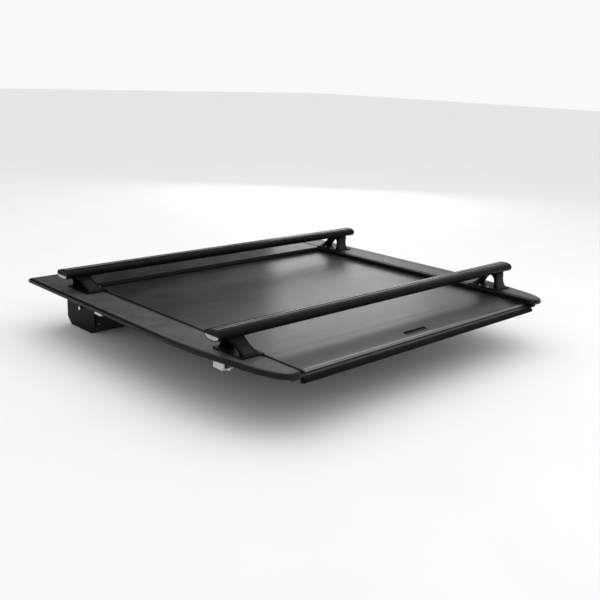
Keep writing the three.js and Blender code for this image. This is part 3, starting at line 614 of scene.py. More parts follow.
@dataclass
class Shape:
    """A mesh in the making, in the row frame."""

    points: list[Vector] = field(default_factory=list)
    faces: list[list[int]] = field(default_factory=list)

    def ring(self, points: Sequence[Place]) -> list[int]:
        """Adds points and returns their numbers."""
        start = len(self.points)
        self.points.extend(Vector(point) for point in points)
        return list(range(start, start + len(points)))

    def loft(self, rings: Sequence[Sequence[Place]], capped: bool = True) -> None:
        """Joins closed rings that have the same number of points.

        Args:
            rings: the rings, in order.
            capped: whether the first and last ring are filled.
        """
        numbered = [self.ring(ring) for ring in rings]
        count = len(numbered[0])
        for below, above in zip(numbered, numbered[1:]):
            for index in range(count):
                following = (index + 1) % count
                self.faces.append([below[index], below[following], above[following], above[index]])
        if capped:
            self.faces.append(list(reversed(numbered[0])))
            self.faces.append(numbered[-1])

    def plate(self, low: Place, high: Place, cut: float) -> None:
        """A block between two corners, with its upright corners cut by `cut`."""
        plan = [
            (low[0] + cut, low[1]), (high[0] - cut, low[1]), (high[0], low[1] + cut),
            (high[0], high[1] - cut), (high[0] - cut, high[1]), (low[0] + cut, high[1]),
            (low[0], high[1] - cut), (low[0], low[1] + cut),
        ]
        self.loft([[(x, y, z) for x, y in plan] for z in (low[2], high[2])])

    def sheet(self, grid: Sequence[Sequence[Place]], thickness: float,
              keep: Callable[[int, int], bool] | None = None) -> None:
        """A sheet of some thickness whose upper face is a grid of points.

        Args:
            grid: rows of points, seen from above.
            thickness: how far the lower face lies below, in metres.
            keep: says which of the grid's cells are kept, by row and column.
        """
        rows, columns = len(grid), len(grid[0])
        upper = [self.ring(row) for row in grid]
        lower = [self.ring([(x, y, z - thickness) for x, y, z in row]) for row in grid]
        kept = {
            (row, column)
            for row in range(rows - 1) for column in range(columns - 1)
            if keep is None or keep(row, column)
        }
        for row, column in sorted(kept):
            corners = [(row, column), (row, column + 1), (row + 1, column + 1), (row + 1, column)]
            self.faces.append([upper[r][c] for r, c in corners])
            self.faces.append([lower[r][c] for r, c in reversed(corners)])
            beyond = [(row - 1, column), (row, column + 1), (row + 1, column), (row, column - 1)]
            for index, neighbour in enumerate(beyond):
                if neighbour not in kept:
                    (r, c), (s, d) = corners[index], corners[(index + 1) % 4]
                    self.faces.append([upper[s][d], upper[r][c], lower[r][c], lower[s][d]])

    def turned(self, profile: Sequence[tuple[float, float]], centre: Place, axis: Place,
               sides: int = 24, hexagon_from: int | None = None) -> None:
        """A turned shape.

        Args:
            profile: (radius, height) pairs from the foot of the piece to its top.
            centre: where height 0 lies.
            axis: the direction of the height.
            sides: points round the shape.
            hexagon_from: the first profile point that is a hexagon's flat-to-flat half width.
        """
        up = Vector(axis).normalized()
        across = up.orthogonal().normalized()
        ahead = up.cross(across)
        rings = []
        for index, (radius, height) in enumerate(profile):
            ring = []
            for step in range(sides):
                angle = 2 * math.pi * step / sides
                reach = radius
                if hexagon_from is not None and index >= hexagon_from:
                    reach = radius / math.cos((angle + math.pi / 6) % (math.pi / 3) - math.pi / 6)
                ring.append(Vector(centre) + up * height
                            + (across * math.cos(angle) + ahead * math.sin(angle)) * reach)
            rings.append(ring)
        self.loft(rings)

    def cap_screw(self, centre: Place, axis: Place, radius: float, height: float) -> None:
        """A socket cap screw's head, on a washer.

        Args:
            centre: the middle of the washer's foot.
            axis: the way the head points.
            radius: the head's radius.
            height: the head's height above the washer.
        """
        washer = 1.2 * MM
        ease = 0.12 * radius
        self.turned(
            [
                (1.75 * radius, 0.0),
                (1.75 * radius, washer - 0.2 * MM),
                (1.70 * radius, washer),
                (radius, washer),
                (radius, washer + height - ease),
                (radius - ease, washer + height),
                (0.56 * radius, washer + height),
                (0.50 * radius, washer + height - 0.3 * MM),
                (0.50 * radius, washer + 0.45 * height),
            ],
            centre, axis, hexagon_from=6,
        )

    def hexagon_nut(self, centre: Place, axis: Place, radius: float, height: float) -> None:
        """A nut with its washer and the end of its bolt."""
        self.turned(
            [
                (1.9 * radius, 0.0), (1.9 * radius, 1.4 * MM), (1.52 * radius, 1.4 * MM),
                (1.60 * radius, 1.4 * MM + 0.1 * height), (1.60 * radius, 1.4 * MM + 0.9 * height),
                (1.45 * radius, 1.4 * MM + height),
            ],
            centre, axis, hexagon_from=2,
        )
        self.turned(
            [(0.95 * radius, 0.5 * height), (0.95 * radius, 1.35 * height + 1.4 * MM),
             (0.75 * radius, 1.5 * height + 1.4 * MM)],
            centre, axis,
        )

    def piece(self, name: str, body: str, wardrobe: Wardrobe, finish: type[Finish],
              edge: float = 0.0) -> bpy.types.Object:
        """Makes the object.

        Args:
            name: the object's name.
            body: the moving body that it rides on.
            wardrobe: where its material comes from.
            finish: the finish it wears.
            edge: how far its hard edges are rounded, or 0 for none.

        Returns:
            The new object.
        """
        mesh = bpy.data.meshes.new(name)
        mesh.from_pydata([tuple(point) for point in self.points], [], self.faces)
        work = bmesh.new()
        work.from_mesh(mesh)
        bmesh.ops.recalc_face_normals(work, faces=work.faces)
        work.to_mesh(mesh)
        work.free()
        mesh.shade_smooth()
        mesh.set_sharp_from_angle(angle=HARD_EDGE)
        made = bpy.data.objects.new(name, mesh)
        bpy.context.scene.collection.objects.link(made)
        wardrobe.dress(made, finish)
        if edge:
            softened(made, edge)
        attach(made, body)
        LOG.info("built %s: %d faces, rides %s", name, len(self.faces), body)
        return made


# ---- Camera and studio ----


@dataclass
class Viewpoint:
    """The camera, behind and to the left of the truck, looking down at the cover."""

    place: Place = (-2.2956, -1.6473, 0.8891)
    target: Place = (0.0, 0.70, -0.03)
    lens: float = 49.0
    roll: float = math.radians(-2.33)

    def aim(self) -> bpy.types.Object:
        """Makes the scene's camera.

        Returns:
            The camera object.
        """
        data = bpy.data.cameras.new("camera")
        data.lens = self.lens
        data.sensor_width = 36.0
        data.clip_end = 100.0
        camera = bpy.data.objects.new("camera", data)
        bpy.context.scene.collection.objects.link(camera)
        ahead = (Vector(self.target) - Vector(self.place)).normalized()
        turn = ahead.to_track_quat("-Z", "Y").to_matrix() @ Matrix.Rotation(-self.roll, 3, "Z")
        camera.matrix_world = Matrix.Translation(self.place) @ turn.to_4x4()
        bpy.context.scene.camera = camera
        return camera


@dataclass
class Studio:
    """A pale floor under plain soft light, with a bright side and a shaded one."""

    floor_z: float
    floor_reach: float = 30.0
    sky: Colour = (1.0, 1.0, 1.0)
    sky_strength: float = 0.95
    flag_ends: tuple[tuple[float, float], tuple[float, float]] = ((-1.7, 1.72), (0.95, 1.92))
    flag_z: tuple[float, float] = (0.05, 0.85)

    def lamp(self, name: str, place: Place, target: Place, size: tuple[float, float],
             power: float) -> None:
        """One soft rectangular lamp.

        Args:
            name: the lamp's name.
            place: where it hangs.
            target: the point it faces.
            size: its width and height.
            power: its power in watts.
        """
        data = bpy.data.lights.new(name, "AREA")
        data.shape = "RECTANGLE"
        data.size, data.size_y = size
        data.energy = power
        lamp = bpy.data.objects.new(name, data)
        bpy.context.scene.collection.objects.link(lamp)
        ahead = (Vector(target) - Vector(place)).normalized()
        lamp.matrix_world = (Matrix.Translation(place)
                             @ ahead.to_track_quat("-Z", "Y").to_matrix().to_4x4())

    def floor(self) -> None:
        """The floor, matt and nearly white."""
        reach = self.floor_reach
        mesh = bpy.data.meshes.new("studio_floor")
        corners = [(-reach, -reach), (reach, -reach), (reach, reach), (-reach, reach)]
        mesh.from_pydata([(x, y, self.floor_z) for x, y in corners], [], [[0, 1, 2, 3]])
        ground = bpy.data.objects.new("studio_floor", mesh)
        bpy.context.scene.collection.objects.link(ground)
        graph = Graph("studio_paper")
        fibre = graph.noise(graph.place(), 3.0, 4)
        graph.feed(graph.shader.inputs["Base Color"],
                   graph.blend(fibre, (0.80, 0.80, 0.80), (0.84, 0.84, 0.84)))
        graph.shader.inputs["Roughness"].default_value = 0.9
        graph.shader.inputs["Specular IOR Level"].default_value = 0.2
        ground.data.materials.append(graph.material)

    def flag(self) -> None:
        """A dark card beyond the cab end, seen only in reflections, as the cab would be."""
        mesh = bpy.data.meshes.new("studio_flag")
        foot, top = self.flag_z
        ends = self.flag_ends
        corners = [(*ends[0], foot), (*ends[1], foot), (*ends[1], top), (*ends[0], top)]
        mesh.from_pydata(corners, [], [[0, 1, 2, 3]])
        card = bpy.data.objects.new("studio_flag", mesh)
        bpy.context.scene.collection.objects.link(card)
        graph = Graph("flag_cloth")
        weave = graph.noise(graph.place(), 40.0, 2)
        graph.feed(graph.shader.inputs["Base Color"],
                   graph.blend(weave, (0.02, 0.02, 0.022), (0.04, 0.04, 0.042)))
        graph.shader.inputs["Roughness"].default_value = 0.9
        card.data.materials.append(graph.material)
        card.visible_camera = False
        card.visible_diffuse = False
        card.visible_shadow = False

    def light(self) -> None:
        """Sets the sky, the lamps, the floor and the flag."""
        world = bpy.data.worlds.new("studio_sky")
        world.use_nodes = True
        sky = world.node_tree.nodes["Background"]
        sky.inputs["Color"].default_value = (*self.sky, 1.0)
        sky.inputs["Strength"].default_value = self.sky_strength
        bpy.context.scene.world = world
        bpy.context.scene.view_settings.view_transform = "Standard"
        self.lamp("key_lamp", (1.2, -1.6, 3.2), (0.0, 0.7, 0.0), (3.0, 3.0), 30.0)
        self.lamp("sky_lamp", (-0.5, 1.0, 3.6), (0.0, 0.7, 0.0), (4.0, 4.0), 30.0)
        self.lamp("side_lamp", (3.3, 3.9, 0.95), (0.4, 1.0, 0.0), (2.2, 0.8), 16.0)
        self.floor()
        self.flag()


# ---- Curtain ----


@dataclass
class Curtain:
    """The skin that is bonded over the slats, between the tail bar and the canister."""

    wardrobe: Wardrobe
    slats: int
    half_width: float = 0.6875
    rear: float = 0.202
    anchor: float = 1.3057
    top: float = 0.0
    thickness: float = 0.95 * MM
    dip: float = 0.28 * MM
    dip_width: float = 5 * MM
    sag: float = 0.22 * MM
    travel: float = 1.0437
    columns: int = 40

    def height(self, x: float, y: float) -> float:
        """The skin's height at a point: it dips at each joint between slats and waves a little."""
        pitch = (self.anchor - self.rear) / self.slats
        part = ((y - self.rear) / pitch) % 1.0
        off = min(part, 1 - part) * pitch
        near = max(0.0, 1 - off / self.dip_width)
        slat = math.floor((y - self.rear) / pitch)
        tilt = 0.5 + 0.5 * math.sin(slat * 2.4 + 1.3 * math.sin(3.1 * x + slat))
        dish = math.sin(math.pi * part) * self.sag * (0.3 + 0.7 * tilt)
        return self.top - 0.02 * MM - self.dip * near * near * (3 - 2 * near) * 0.8 - dish * 0.4

    def build(self) -> bpy.types.Object:
        """Makes the skin.

        Returns:
            The skin object.
        """
        pitch = (self.anchor - self.rear) / self.slats
        parts = [0.0, 0.035, 0.085, 0.2, 0.35, 0.5, 0.65, 0.8, 0.915, 0.965]
        rows = [self.rear + (slat + part) * pitch for slat in range(self.slats) for part in parts]
        rows.append(self.anchor)
        steps = range(self.columns + 1)
        columns = [self.half_width * (2 * step / self.columns - 1) for step in steps]
        grid = [[(x, y, self.height(x, y)) for x in columns] for y in rows]
        shape = Shape()
        shape.sheet(grid, self.thickness - self.dip)
        skin = shape.piece("curtain_skin", "cover_frame", self.wardrobe, VinylSkin)
        length = self.anchor - self.rear
        (length - self.travel) / length
        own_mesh(skin)
        2 * self.half_width
        [f"slat_{number:02d}" for number in range(1, self.slats + 1)]
        return skin


# ---- Tail bar ----


@dataclass
class Tail:
    """The skin, bezel, bead strip, end guards and grip ribs on the tail bar."""

    wardrobe: Wardrobe
    half_width: float = 0.6525
    front: float = 0.2015
    fall_from: float = 0.168
    fall_to: float = 0.066
    deck_top: float = -0.001
    drop: float = 0.008
    rear_edge: float = 0.0535
    film: float = 0.8 * MM
    slot_half: float = 0.058
    slot_rear: float = 0.0835
    slot_front: float = 0.0995
    skin_rows: int = 26
    side_columns: int = 14
    middle_column: float = 0.02
    bead: tuple[float, float] = (0.030, 0.052)
    bead_height: float = 7 * MM
    guard_width: float = 26 * MM
    guard_rows: tuple[float, ...] = (0.0150, 0.0180, 0.0240, 0.0292)
    rib_pitch: float = 8.8 * MM
    rib_radius: float = 1.5 * MM
    rib_rise: float = 0.9 * MM
    ribs: int = 11

    def deck(self, y: float) -> float:
        """The deck's height: level behind the first slat, then falling to the rear."""
        if y >= self.fall_from:
            return self.deck_top
        t = min(1.0, (self.fall_from - y) / (self.fall_from - self.fall_to))
        return self.deck_top - self.drop * t * t * (2 - t)

    def skin(self) -> bpy.types.Object:
        """The skin over the deck, cut round the pull handle's slot.

        Returns:
            The skin object.
        """
        lift = self.film + 0.1 * MM
        span = self.front - self.rear_edge
        down, across = self.skin_rows, self.side_columns
        level = {self.rear_edge + span * step / down for step in range(down + 1)}
        rows = sorted(level | {self.slot_rear, self.slot_front})
        beside = self.half_width - self.slot_half
        side = [self.slot_half + beside * step / across for step in range(across + 1)]
        middle = [-self.middle_column, self.middle_column]
        columns = [-x for x in reversed(side)] + middle + side
        grid = [[(x, y, self.deck(y) + lift) for x in columns] for y in rows]
        eps = 1e-6

        def keep(row: int, column: int) -> bool:
            """Whether a cell lies outside the slot."""
            left, right = columns[column], columns[column + 1]
            rear, front = rows[row], rows[row + 1]
            in_x = left > -self.slot_half - eps and right < self.slot_half + eps
            in_y = rear > self.slot_rear - eps and front < self.slot_front + eps
            return not (in_x and in_y)

        shape = Shape()
        shape.sheet(grid, self.film, keep)
        skin = shape.piece("tail_skin", "tail", self.wardrobe, VinylSkin)
        hole = 2 * self.slot_half * (self.slot_front - self.slot_rear)
        flat = (2 * self.half_width, span * 1.0035)
        flat[0] * flat[1] - hole
        return skin

    def bezel(self) -> bpy.types.Object:
        """The moulded frame round the pull handle's slot.

        Returns:
            The bezel object.
        """
        inset, wide = 0.3 * MM, 3.6 * MM
        lift = self.film + 0.2 * MM
        high = 0.9 * MM
        skirt = 4.5 * MM
        shape = Shape()
        rings = []
        for out, rise in ((0.0, None), (0.0, 1.0), (0.7, 1.0), (1.0, 0.15)):
            x = self.slot_half - inset + out * wide
            rear, front = self.slot_rear + inset - out * wide, self.slot_front - inset + out * wide
            corner = 2.5 * MM + out * 3 * MM
            ring = []
            for cx, cy, turn in ((x, front, 0), (-x, front, 1), (-x, rear, 2), (x, rear, 3)):
                for step in range(4):
                    angle = math.pi / 2 * (turn + step / 3)
                    px = cx - math.copysign(corner, cx) + corner * math.cos(angle)
                    middle = (rear + front) / 2
                    py = cy - math.copysign(corner, cy - middle) + corner * math.sin(angle)
                    base = self.deck(py) + lift
                    ring.append((px, py, base - skirt if rise is None else base + high * rise))
            rings.append(ring)
        foot = [(x, y, self.deck(y) + lift) for x, y, _ in rings[-1]]
        rings.append(foot)
        shape.loft(rings, capped=False)
        return shape.piece("handle_bezel", "tail", self.wardrobe, MouldedNylon)

    def bead_strip(self) -> bpy.types.Object:
        """The satin strip that is clipped over the bead along the rear edge.

        Returns:
            The strip object.
        """
        rear, front = self.bead
        base = self.deck_top - self.drop
        crown = [(1.0, 0.10), (0.95, 0.62), (0.73, 0.97), (0.5, 1.02), (0.18, 0.82), (0.02, 0.45)]
        outer, inner = [], []
        for part, rise in crown:
            y = rear + part * (front - rear)
            z = base + rise * self.bead_height
            outer.append((y + (part - 0.5) * 0.7 * MM, z + 0.45 * MM))
            inner.append((y + (part - 0.5) * 0.2 * MM, z + 0.06 * MM))
        ring = outer + list(reversed(inner))
        shape = Shape()
        stops = [self.half_width * (step / 12 - 1) for step in range(25)]
        shape.loft([[(x, y, z) for y, z in ring] for x in stops])
        return shape.piece("bead_strip", "tail", self.wardrobe, BeadAlloy)

    def end_guards(self) -> None:
        """Moulded corner guards where the tail bar meets the rails."""
        for side in Side:
            shape = Shape()
            outer = side.value * (self.half_width + 0.2 * MM)
            inner = side.value * (self.half_width - self.guard_width)
            grid = []
            for y in self.guard_rows:
                z = -self.drop
                edge = [inner, inner + side.value * 2 * MM, outer - side.value * 1 * MM, outer]
                rise = [0.0, 1.2 * MM, 1.2 * MM, 0.6 * MM]
                fade = 0.35 if y in (self.guard_rows[0], self.guard_rows[-1]) else 1.0
                grid.append([(x, y, z + lift * fade + 0.2 * MM) for x, lift in zip(edge, rise)])
            shape.sheet(grid, 0.9 * MM)
            shape.piece(f"tail_guard_{side.word}", "tail", self.wardrobe, MouldedNylon)

    def handle_ribs(self) -> bpy.types.Object:
        """Grip ribs along the front of the handle's finger lip.

        Returns:
            The ribs as one object.
        """
        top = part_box("latch_handle")[1].z - 0.9 * MM
        front = self.slot_rear + 6.6 * MM
        shape = Shape()
        for step in range(self.ribs):
            x = self.rib_pitch * (step - (self.ribs - 1) / 2)
            ring = []
            for index in range(7):
                turn = math.pi * index / 6
                ring.append((x + self.rib_radius * math.cos(turn),
                             front + self.rib_rise * math.sin(turn)))
            ring.append((x - self.rib_radius, front - 0.3 * MM))
            ring.append((x + self.rib_radius, front - 0.3 * MM))
            shape.loft([[(px, py, z) for px, py in ring] for z in (top - 7 * MM, top)])
        return shape.piece("handle_ribs", "handle", self.wardrobe, MouldedNylon)

    def build(self) -> None:
        """Makes every piece of the tail."""
        self.skin()
        self.bezel()
        self.bead_strip()
        self.end_guards()
        self.handle_ribs()


# ---- Rails ----


@dataclass
class Rails:
    """The rubbing strips on the rails' caps."""

    wardrobe: Wardrobe
    top: float = 0.020
    inset: float = 0.034
    rear: float = 0.455
    front_gap: float = 0.020
    fade: float = 15 * MM
    height: float = 0.9 * MM

    def rubbing_strip(self, side: Side) -> bpy.types.Object:
        """A fine raised bead along the outer part of the cap.

        Args:
            side: the side it is on.

        Returns:
            The strip object.
        """
        low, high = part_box(f"rail_cap_{side.word}")
        x = side.value * (max(abs(low.x), abs(high.x)) - self.inset)
        section = [(-1.6, 0.0), (-1.1, 0.75), (-0.4, 1.0), (0.4, 1.0), (1.1, 0.75), (1.6, 0.0)]
        front = high.y - self.front_gap
        ends = ((self.rear, 0.05), (self.rear + self.fade, 1.0),
                (front - self.fade, 1.0), (front, 0.05))
        shape = Shape()
        rings = []
        for y, size in ends:
            rings.append([
                (x + u * MM * size, y, self.top + 0.05 * MM + v * self.height * size)
                for u, v in section
            ])
        shape.loft(rings)
        return shape.piece(f"cap_bead_{side.word}", "cover_frame", self.wardrobe, CapPlastic)

    def build(self) -> None:
        """Makes the pieces on both rails."""
        for side in Side:
            self.rubbing_strip(side)


# ---- Load bars ----


@dataclass
class LoadBar:
    """Trim, saddles, panels and screws of one load bar."""

    wardrobe: Wardrobe
    place: str
    half_depth: float = 0.037
    half_height: float = 0.018
    squareness: float = 0.78
    foot_body: float = 0.060
    foot_top: float = 0.050
    arch: tuple[float, float, float] = (0.042, 0.046, 0.03024)
    lean: float = 0.028
    neck: float = 0.035
    flare: tuple[float, float] = (0.008, 0.014)
    base_margin: float = 0.006
    base_thick: float = 0.005
    slot_x: float = 0.667
    insert_top: float = 0.16
    insert_steps: int = 40
    collar_steps: int = 44
    foot_middle: float = 0.046
    panel_inset: float = 6.5 * MM
    panel_start: float = 0.16
    panel_span: float = 0.70
    saddle_reach: tuple[float, float] = (0.016, 0.0335)
    screw_off: float = 0.020
    screw_radius: float = 3.3 * MM
    screw_height: float = 4.6 * MM
    rim_focus: float = 0.020

    @property
    def body(self) -> str:
        """The body that the bar rides on."""
        return f"{self.place}_load_bar"

    def middle(self) -> Vector:
        """The middle of the bar."""
        low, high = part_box(f"crossbar_{self.place}")
        return (low + high) / 2

    def section(self, angle: float, shrink: float = 0.0) -> tuple[float, float]:
        """A point on the bar's rounded section, as (y, z) from its middle."""
        c, s = math.cos(angle), math.sin(angle)
        across = (self.half_depth - shrink) * math.copysign(abs(c) ** self.squareness, c)
        up = (self.half_height - shrink) * math.copysign(abs(s) ** self.squareness, s)
        return across, up

    def end_insert(self, side: Side) -> bpy.types.Object:
        """The silver insert in the lower part of a bar end.

        Args:
            side: the end it is on.

        Returns:
            The insert object.
        """
        low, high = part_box(f"crossbar_cap_{self.place}_{side.word}")
        middle = (low + high) / 2
        face = high.x if side is Side.RIGHT else low.x
        cut = self.insert_top * self.half_height
        shape = Shape()
        rings = []
        for shrink, out in ((3.4 * MM, -0.4 * MM), (3.4 * MM, 0.4 * MM), (4.2 * MM, 0.9 * MM),
                            (6.8 * MM, 1.2 * MM)):
            ring = []
            for step in range(self.insert_steps):
                across, up = self.section(2 * math.pi * step / self.insert_steps, shrink)
                ring.append((face + side.value * out, middle.y + across,
                             middle.z + min(up, cut - shrink)))
            rings.append(ring)
        shape.loft(rings)
        return shape.piece(f"bar_end_insert_{self.place}_{side.word}", self.body, self.wardrobe,
                           SatinSilver)

    def end_collar(self, side: Side) -> bpy.types.Object:
        """The moulded collar where a bar end meets the bar.

        Args:
            side: the end it is on.

        Returns:
            The collar object.
        """
        low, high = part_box(f"crossbar_{self.place}")
        middle = (low + high) / 2
        inner = abs(high.x) - 1.2 * MM
        shape = Shape()
        rings = []
        for x, grow in ((inner - 0.8 * MM, -0.3), (inner, 0.35), (inner + 1.3 * MM, 0.5),
                        (inner + 2.6 * MM, 0.35), (inner + 3.4 * MM, -0.3)):
            ring = []
            for step in range(self.collar_steps):
                across, up = self.section(2 * math.pi * step / self.collar_steps, -grow * MM)
                ring.append((side.value * x, middle.y + across, middle.z + up))
            rings.append(ring)
        shape.loft(rings)
        return shape.piece(f"bar_end_collar_{self.place}_{side.word}", self.body, self.wardrobe,
                           MouldedNylon)

    def foot_line(self, side: Side, rise: float) -> tuple[float, float]:
        """A foot's body at a height.

        Args:
            side: the side it is on.
            rise: the height above the base, from 0 to 1 at the top.

        Returns:
            The middle and half the width, along X.
        """
        low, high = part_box(f"crossbar_foot_{self.place}_{side.word}")
        base = min(abs(low.x), abs(high.x)) + self.foot_middle
        half = (self.foot_body + (self.foot_top - self.foot_body) * rise) / 2
        return side.value * (base + self.lean * rise), half

    def leg_panel(self, side: Side, way: int) -> bpy.types.Object:
        """The smooth panel let into the curved face of a leg.

        Args:
            side: the side the foot is on.
            way: -1 for the leg that faces the tail, 1 for the one that faces the cab.

        Returns:
            The panel object.
        """
        low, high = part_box(f"crossbar_foot_{self.place}_{side.word}")
        middle = (low.y + high.y) / 2
        spread = (high.y - low.y) / 2 - self.base_margin
        springing = low.z + self.base_thick
        start = Vector((spread, springing))
        bend = Vector((self.neck + self.flare[0], springing + self.flare[1]))
        end = Vector((self.neck, high.z))
        parts = (-1.0, -0.92, -0.6, -0.2, 0.2, 0.6, 0.92, 1.0)
        last = len(parts) - 1
        grid = []
        steps = 12
        for step in range(steps + 1):
            t = self.panel_start + self.panel_span * step / steps
            point = start * (1 - t) ** 2 + bend * (2 * t * (1 - t)) + end * t ** 2
            slope = (bend - start) * (2 * (1 - t)) + (end - bend) * (2 * t)
            out = Vector((slope.y, -slope.x)).normalized()
            rise = (point.y - springing) / (high.z - springing)
            x, half = self.foot_line(side, rise)
            crown = 1.0 - (2 * step / steps - 1) ** 6
            row = []
            for part in parts:
                dome = (0.25 + 0.75 * (1 - part ** 6)) * (0.3 + 0.7 * crown)
                lift = (0.1 + 1.2 * dome) * MM
                row.append((x + part * (half - self.panel_inset),
                            middle + way * (point.x + out.x * lift), point.y + out.y * lift))
            grid.append(row)
        panel = Shape()
        back = [[(x, y - way * 0.8 * MM, z - 0.8 * MM) for x, y, z in row] for row in grid]
        border = [(0, c) for c in range(last + 1)] + [(r, last) for r in range(1, steps + 1)]
        border += [(steps, c) for c in range(last - 1, -1, -1)]
        border += [(r, 0) for r in range(steps - 1, 0, -1)]
        front_rows = [panel.ring(row) for row in grid]
        back_rows = [panel.ring(row) for row in back]
        for row in range(steps):
            for column in range(last):
                cell = [(row, column), (row, column + 1), (row + 1, column + 1), (row + 1, column)]
                panel.faces.append([front_rows[r][c] for r, c in cell])
                panel.faces.append([back_rows[r][c] for r, c in reversed(cell)])
        for (r, c), (s, d) in zip(border, border[1:] + border[:1]):
            panel.faces.append([front_rows[r][c], front_rows[s][d],
                                back_rows[s][d], back_rows[r][c]])
        word = "tail" if way < 0 else "cab"
        return panel.piece(f"foot_panel_{self.place}_{side.word}_{word}", self.body, self.wardrobe,
                           PanelBlack)

    def saddle(self, side: Side) -> bpy.types.Object:
        """The two shims that fill the wedge between a foot's top and the bar's rounded underside.

        Args:
            side: the side it is on.

        Returns:
            The saddle object.
        """
        foot_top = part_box(f"crossbar_foot_{self.place}_{side.word}")[1].z
        bar = self.middle()
        x, half = self.foot_line(side, 1.0)
        floor = foot_top + 0.05 * MM
        near, far = self.saddle_reach
        shape = Shape()
        for way in (-1, 1):
            top = []
            for step in range(9):
                across = near + (far - near) * step / 8
                c = (across / self.half_depth) ** (1 / self.squareness)
                s = math.sqrt(max(0.0, 1 - c * c))
                up = self.half_height * s ** self.squareness
                under = max(floor + 0.12 * MM, bar.z - up - 0.12 * MM)
                top.append((bar.y + way * across, under))
            outline = top + [(top[-1][0], floor), (top[0][0], floor)]
            ends = [x - (half - 0.4 * MM), x + (half - 0.4 * MM)]
            shape.loft([[(end, y, z) for y, z in outline] for end in ends])
        return shape.piece(f"bar_saddle_{self.place}_{side.word}", self.body, self.wardrobe, Rubber)

    def foot_screws(self, side: Side) -> bpy.types.Object:
        """The socket screws that draw a foot down to the runner in the rail's slot.

        Args:
            side: the side they are on.

        Returns:
            The screws as one object.
        """
        low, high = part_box(f"crossbar_foot_{self.place}_{side.word}")
        middle = (low.y + high.y) / 2
        shape = Shape()
        for off in (-self.screw_off, self.screw_off):
            seat = (side.value * (self.slot_x - 0.5 * MM), middle + off,
                    low.z + self.base_thick + 0.02 * MM)
            shape.cap_screw(seat, (0, 0, 1), self.screw_radius, self.screw_height)
        return shape.piece(f"foot_screws_{self.place}_{side.word}", self.body, self.wardrobe,
                           ZincSteel)

    def arch_rim(self, side: Side) -> bpy.types.Object:
        """A raised rim round the arch on the foot's inboard face.

        Args:
            side: the side it is on.

        Returns:
            The rim object.
        """
        low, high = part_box(f"crossbar_foot_{self.place}_{side.word}")
        middle = (low.y + high.y) / 2
        springing = low.z + self.base_thick
        half, crown, shoulder = self.arch
        line = []
        for step in range(-10, 11):
            u = 1 - abs(step) / 10
            y = half * (1 - u) ** 2 + shoulder * 2 * u * (1 - u)
            line.append((math.copysign(y, -step), crown * u * (2 - u)))
        shape = Shape()
        rings = []
        span = high.z - springing
        for y, z in line:
            rise = z / span
            x, half_width = self.foot_line(side, rise)
            face = x - side.value * half_width
            size = math.hypot(y, z + self.rim_focus)
            out = (y / size, (z + self.rim_focus) / size)
            ring = []
            for along, lift in ((0.2, 0.3), (0.5, -0.7), (1.6, -0.9), (2.4, -0.5), (2.7, 0.3)):
                ring.append((face + side.value * lift * MM, middle + y + out[0] * along * MM,
                             springing + max(z, 0.2 * MM) + out[1] * along * MM))
            rings.append(ring)
        shape.loft(rings)
        return shape.piece(f"foot_rim_{self.place}_{side.word}", self.body, self.wardrobe,
                           MouldedNylon)

    def build(self) -> None:
        """Makes every piece of the bar."""
        for side in Side:
            self.end_insert(side)
            self.end_collar(side)
            self.saddle(side)
            self.foot_screws(side)
            self.arch_rim(side)
            for way in (-1, 1):
                self.leg_panel(side, way)


# ---- Clamps ----


@dataclass
class Clamp:
    """Pad and bolts of one tub clamp."""

    wardrobe: Wardrobe
    place: str
    side: Side
    tip: float = 8 * MM
    pad_z: tuple[float, float] = (-7.95 * MM, -6.6 * MM)
    web_x: float = 0.690
    plate: float = 5 * MM
    gap: float = 0.02 * MM
    bolt_off: float = 14 * MM
    bolt_shown: float = 35.2 * MM

    def build(self) -> None:
        """Makes the pad and the bolts."""
        name = f"tub_clamp_{self.place}_{self.side.word}"
        low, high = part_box(name)
        body = f"{name}_body"
        tip_out = high.x if self.side is Side.RIGHT else low.x
        tip_in = tip_out - self.side.value * self.tip
        middle = (low.y + high.y) / 2
        left, right = sorted((tip_out, tip_in))
        pad = Shape()
        pad.plate((left - 0.6 * MM, low.y + 2 * MM, self.pad_z[0]),
                  (right + 0.6 * MM, high.y - 2 * MM, self.pad_z[1]), 1.5 * MM)
        pad.piece(f"clamp_pad_{self.place}_{self.side.word}", body, self.wardrobe, Rubber, 0.3 * MM)
        web = self.side.value * self.web_x
        bolts = Shape()
        for off in (-self.bolt_off, self.bolt_off):
            bolts.hexagon_nut((web, middle + off, low.z - self.gap), (0, 0, -1), 4 * MM, 6 * MM)
            bolts.turned([(3.8 * MM, 0.0), (3.8 * MM, self.bolt_shown)],
                         (web, middle + off, low.z + self.plate + self.gap), (0, 0, 1))
        bolts.piece(f"clamp_bolts_{self.place}_{self.side.word}", body, self.wardrobe, ZincSteel)


# ---- Canister ----


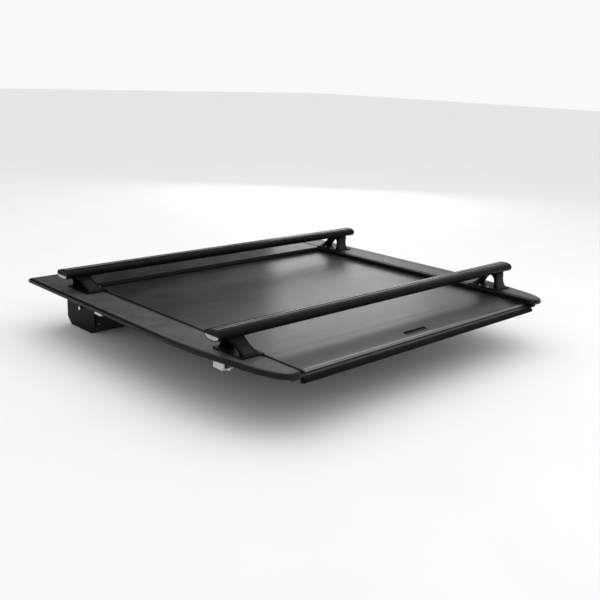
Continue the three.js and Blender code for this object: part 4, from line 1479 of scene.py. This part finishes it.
@dataclass
class Canister:
    """Lid screws, the lid's wiping pile and the trough's rivets."""

    wardrobe: Wardrobe
    screws: int = 7
    screw_end: float = 0.045
    screw_edge: float = 0.022
    tufts: int = 240
    pile_end: float = 6 * MM
    rivet_end: float = 0.012
    rivet_low: float = 0.045
    rivet_pitch: float = 0.036
    rivet_rows: int = 4

    def lid_screws(self) -> bpy.types.Object:
        """Countersunk screws along the lid's cab edge.

        Returns:
            The screws as one object.
        """
        low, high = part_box("canister_lid")
        shape = Shape()
        profile = [(4.6 * MM, -0.1 * MM), (4.6 * MM, 0.35 * MM), (4.1 * MM, 0.6 * MM),
                   (1.9 * MM, 0.65 * MM), (1.7 * MM, 0.2 * MM)]
        span = high.x - low.x - 2 * self.screw_end
        for step in range(self.screws):
            x = low.x + self.screw_end + span * step / (self.screws - 1)
            shape.turned(profile, (x, high.y - self.screw_edge, high.z), (0, 0, 1), hexagon_from=3)
        return shape.piece("lid_screws", "cover_frame", self.wardrobe, MouldedNylon)

    def wiping_pile(self) -> bpy.types.Object:
        """The pile strip under the lid's rear lip, which wipes the curtain.

        Returns:
            The strip object.
        """
        low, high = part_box("canister_lid")
        shape = Shape()
        half = high.x - self.pile_end
        rings = []
        for step in range(self.tufts + 1):
            x = -half + 2 * half * step / self.tufts
            wave = 0.35 * MM * math.sin(step * 2.3) * math.sin(step * 0.71)
            rings.append([
                (x, low.y + 0.4 * MM, low.z - 0.05 * MM), (x, low.y + 3.6 * MM, low.z - 0.05 * MM),
                (x, low.y + 3.0 * MM + wave, 0.45 * MM), (x, low.y + 0.9 * MM + wave, 0.30 * MM),
            ])
        shape.loft(rings)
        return shape.piece("lid_pile", "cover_frame", self.wardrobe, Rubber)

    def rivets(self) -> bpy.types.Object:
        """Rivets that hold the trough to its end plates, on its rear and cab faces.

        Returns:
            The rivets as one object.
        """
        low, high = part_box("canister_body")
        shape = Shape()
        profile = [(3.4 * MM, 0.0), (3.3 * MM, 0.6 * MM), (2.3 * MM, 1.2 * MM),
                   (0.9 * MM, 1.4 * MM)]
        for x in (low.x + self.rivet_end, high.x - self.rivet_end):
            for step in range(self.rivet_rows):
                z = low.z + self.rivet_low + self.rivet_pitch * step
                shape.turned(profile, (x, low.y, z), (0, -1, 0), 16)
                shape.turned(profile, (x, high.y, z), (0, 1, 0), 16)
        return shape.piece("trough_rivets", "cover_frame", self.wardrobe, ZincSteel)

    def build(self) -> None:
        """Makes the canister's pieces."""
        self.lid_screws()
        self.wiping_pile()
        self.rivets()


def main() -> None:
    """Builds the looks of the whole cover."""
    logging.basicConfig(level=logging.INFO, format="%(message)s")
    Viewpoint().aim()
    Studio(floor_z=cad_box[0][2] - 1 * MM).light()
    wardrobe = Wardrobe(
        VinylSkin(), PowderCoat(), CapPlastic(), Rubber(), SlatAlloy(), ZincSteel(), SpringSteel(),
        BarAlloy(), BeadAlloy(), MouldedNylon(), SatinSilver(), PanelBlack(),
    )
    wardrobe.dress_frame(frame["nodes"])
    for name, node in sorted(frame["nodes"].items()):
        if name.startswith(("crossbar_foot", "rail_cap", "canister_lid", "tub_clamp")):
            softened(node, 0.5 * MM, weld=True)
    slats = sum(name.startswith("slat_") for name in frame["nodes"])
    Curtain(wardrobe, slats).build()
    Tail(wardrobe).build()
    Rails(wardrobe).build()
    for place in ("rear", "front"):
        LoadBar(wardrobe, place).build()
        for side in Side:
            Clamp(wardrobe, place, side).build()
    Canister(wardrobe).build()


if __name__ == "__main__":
    main()
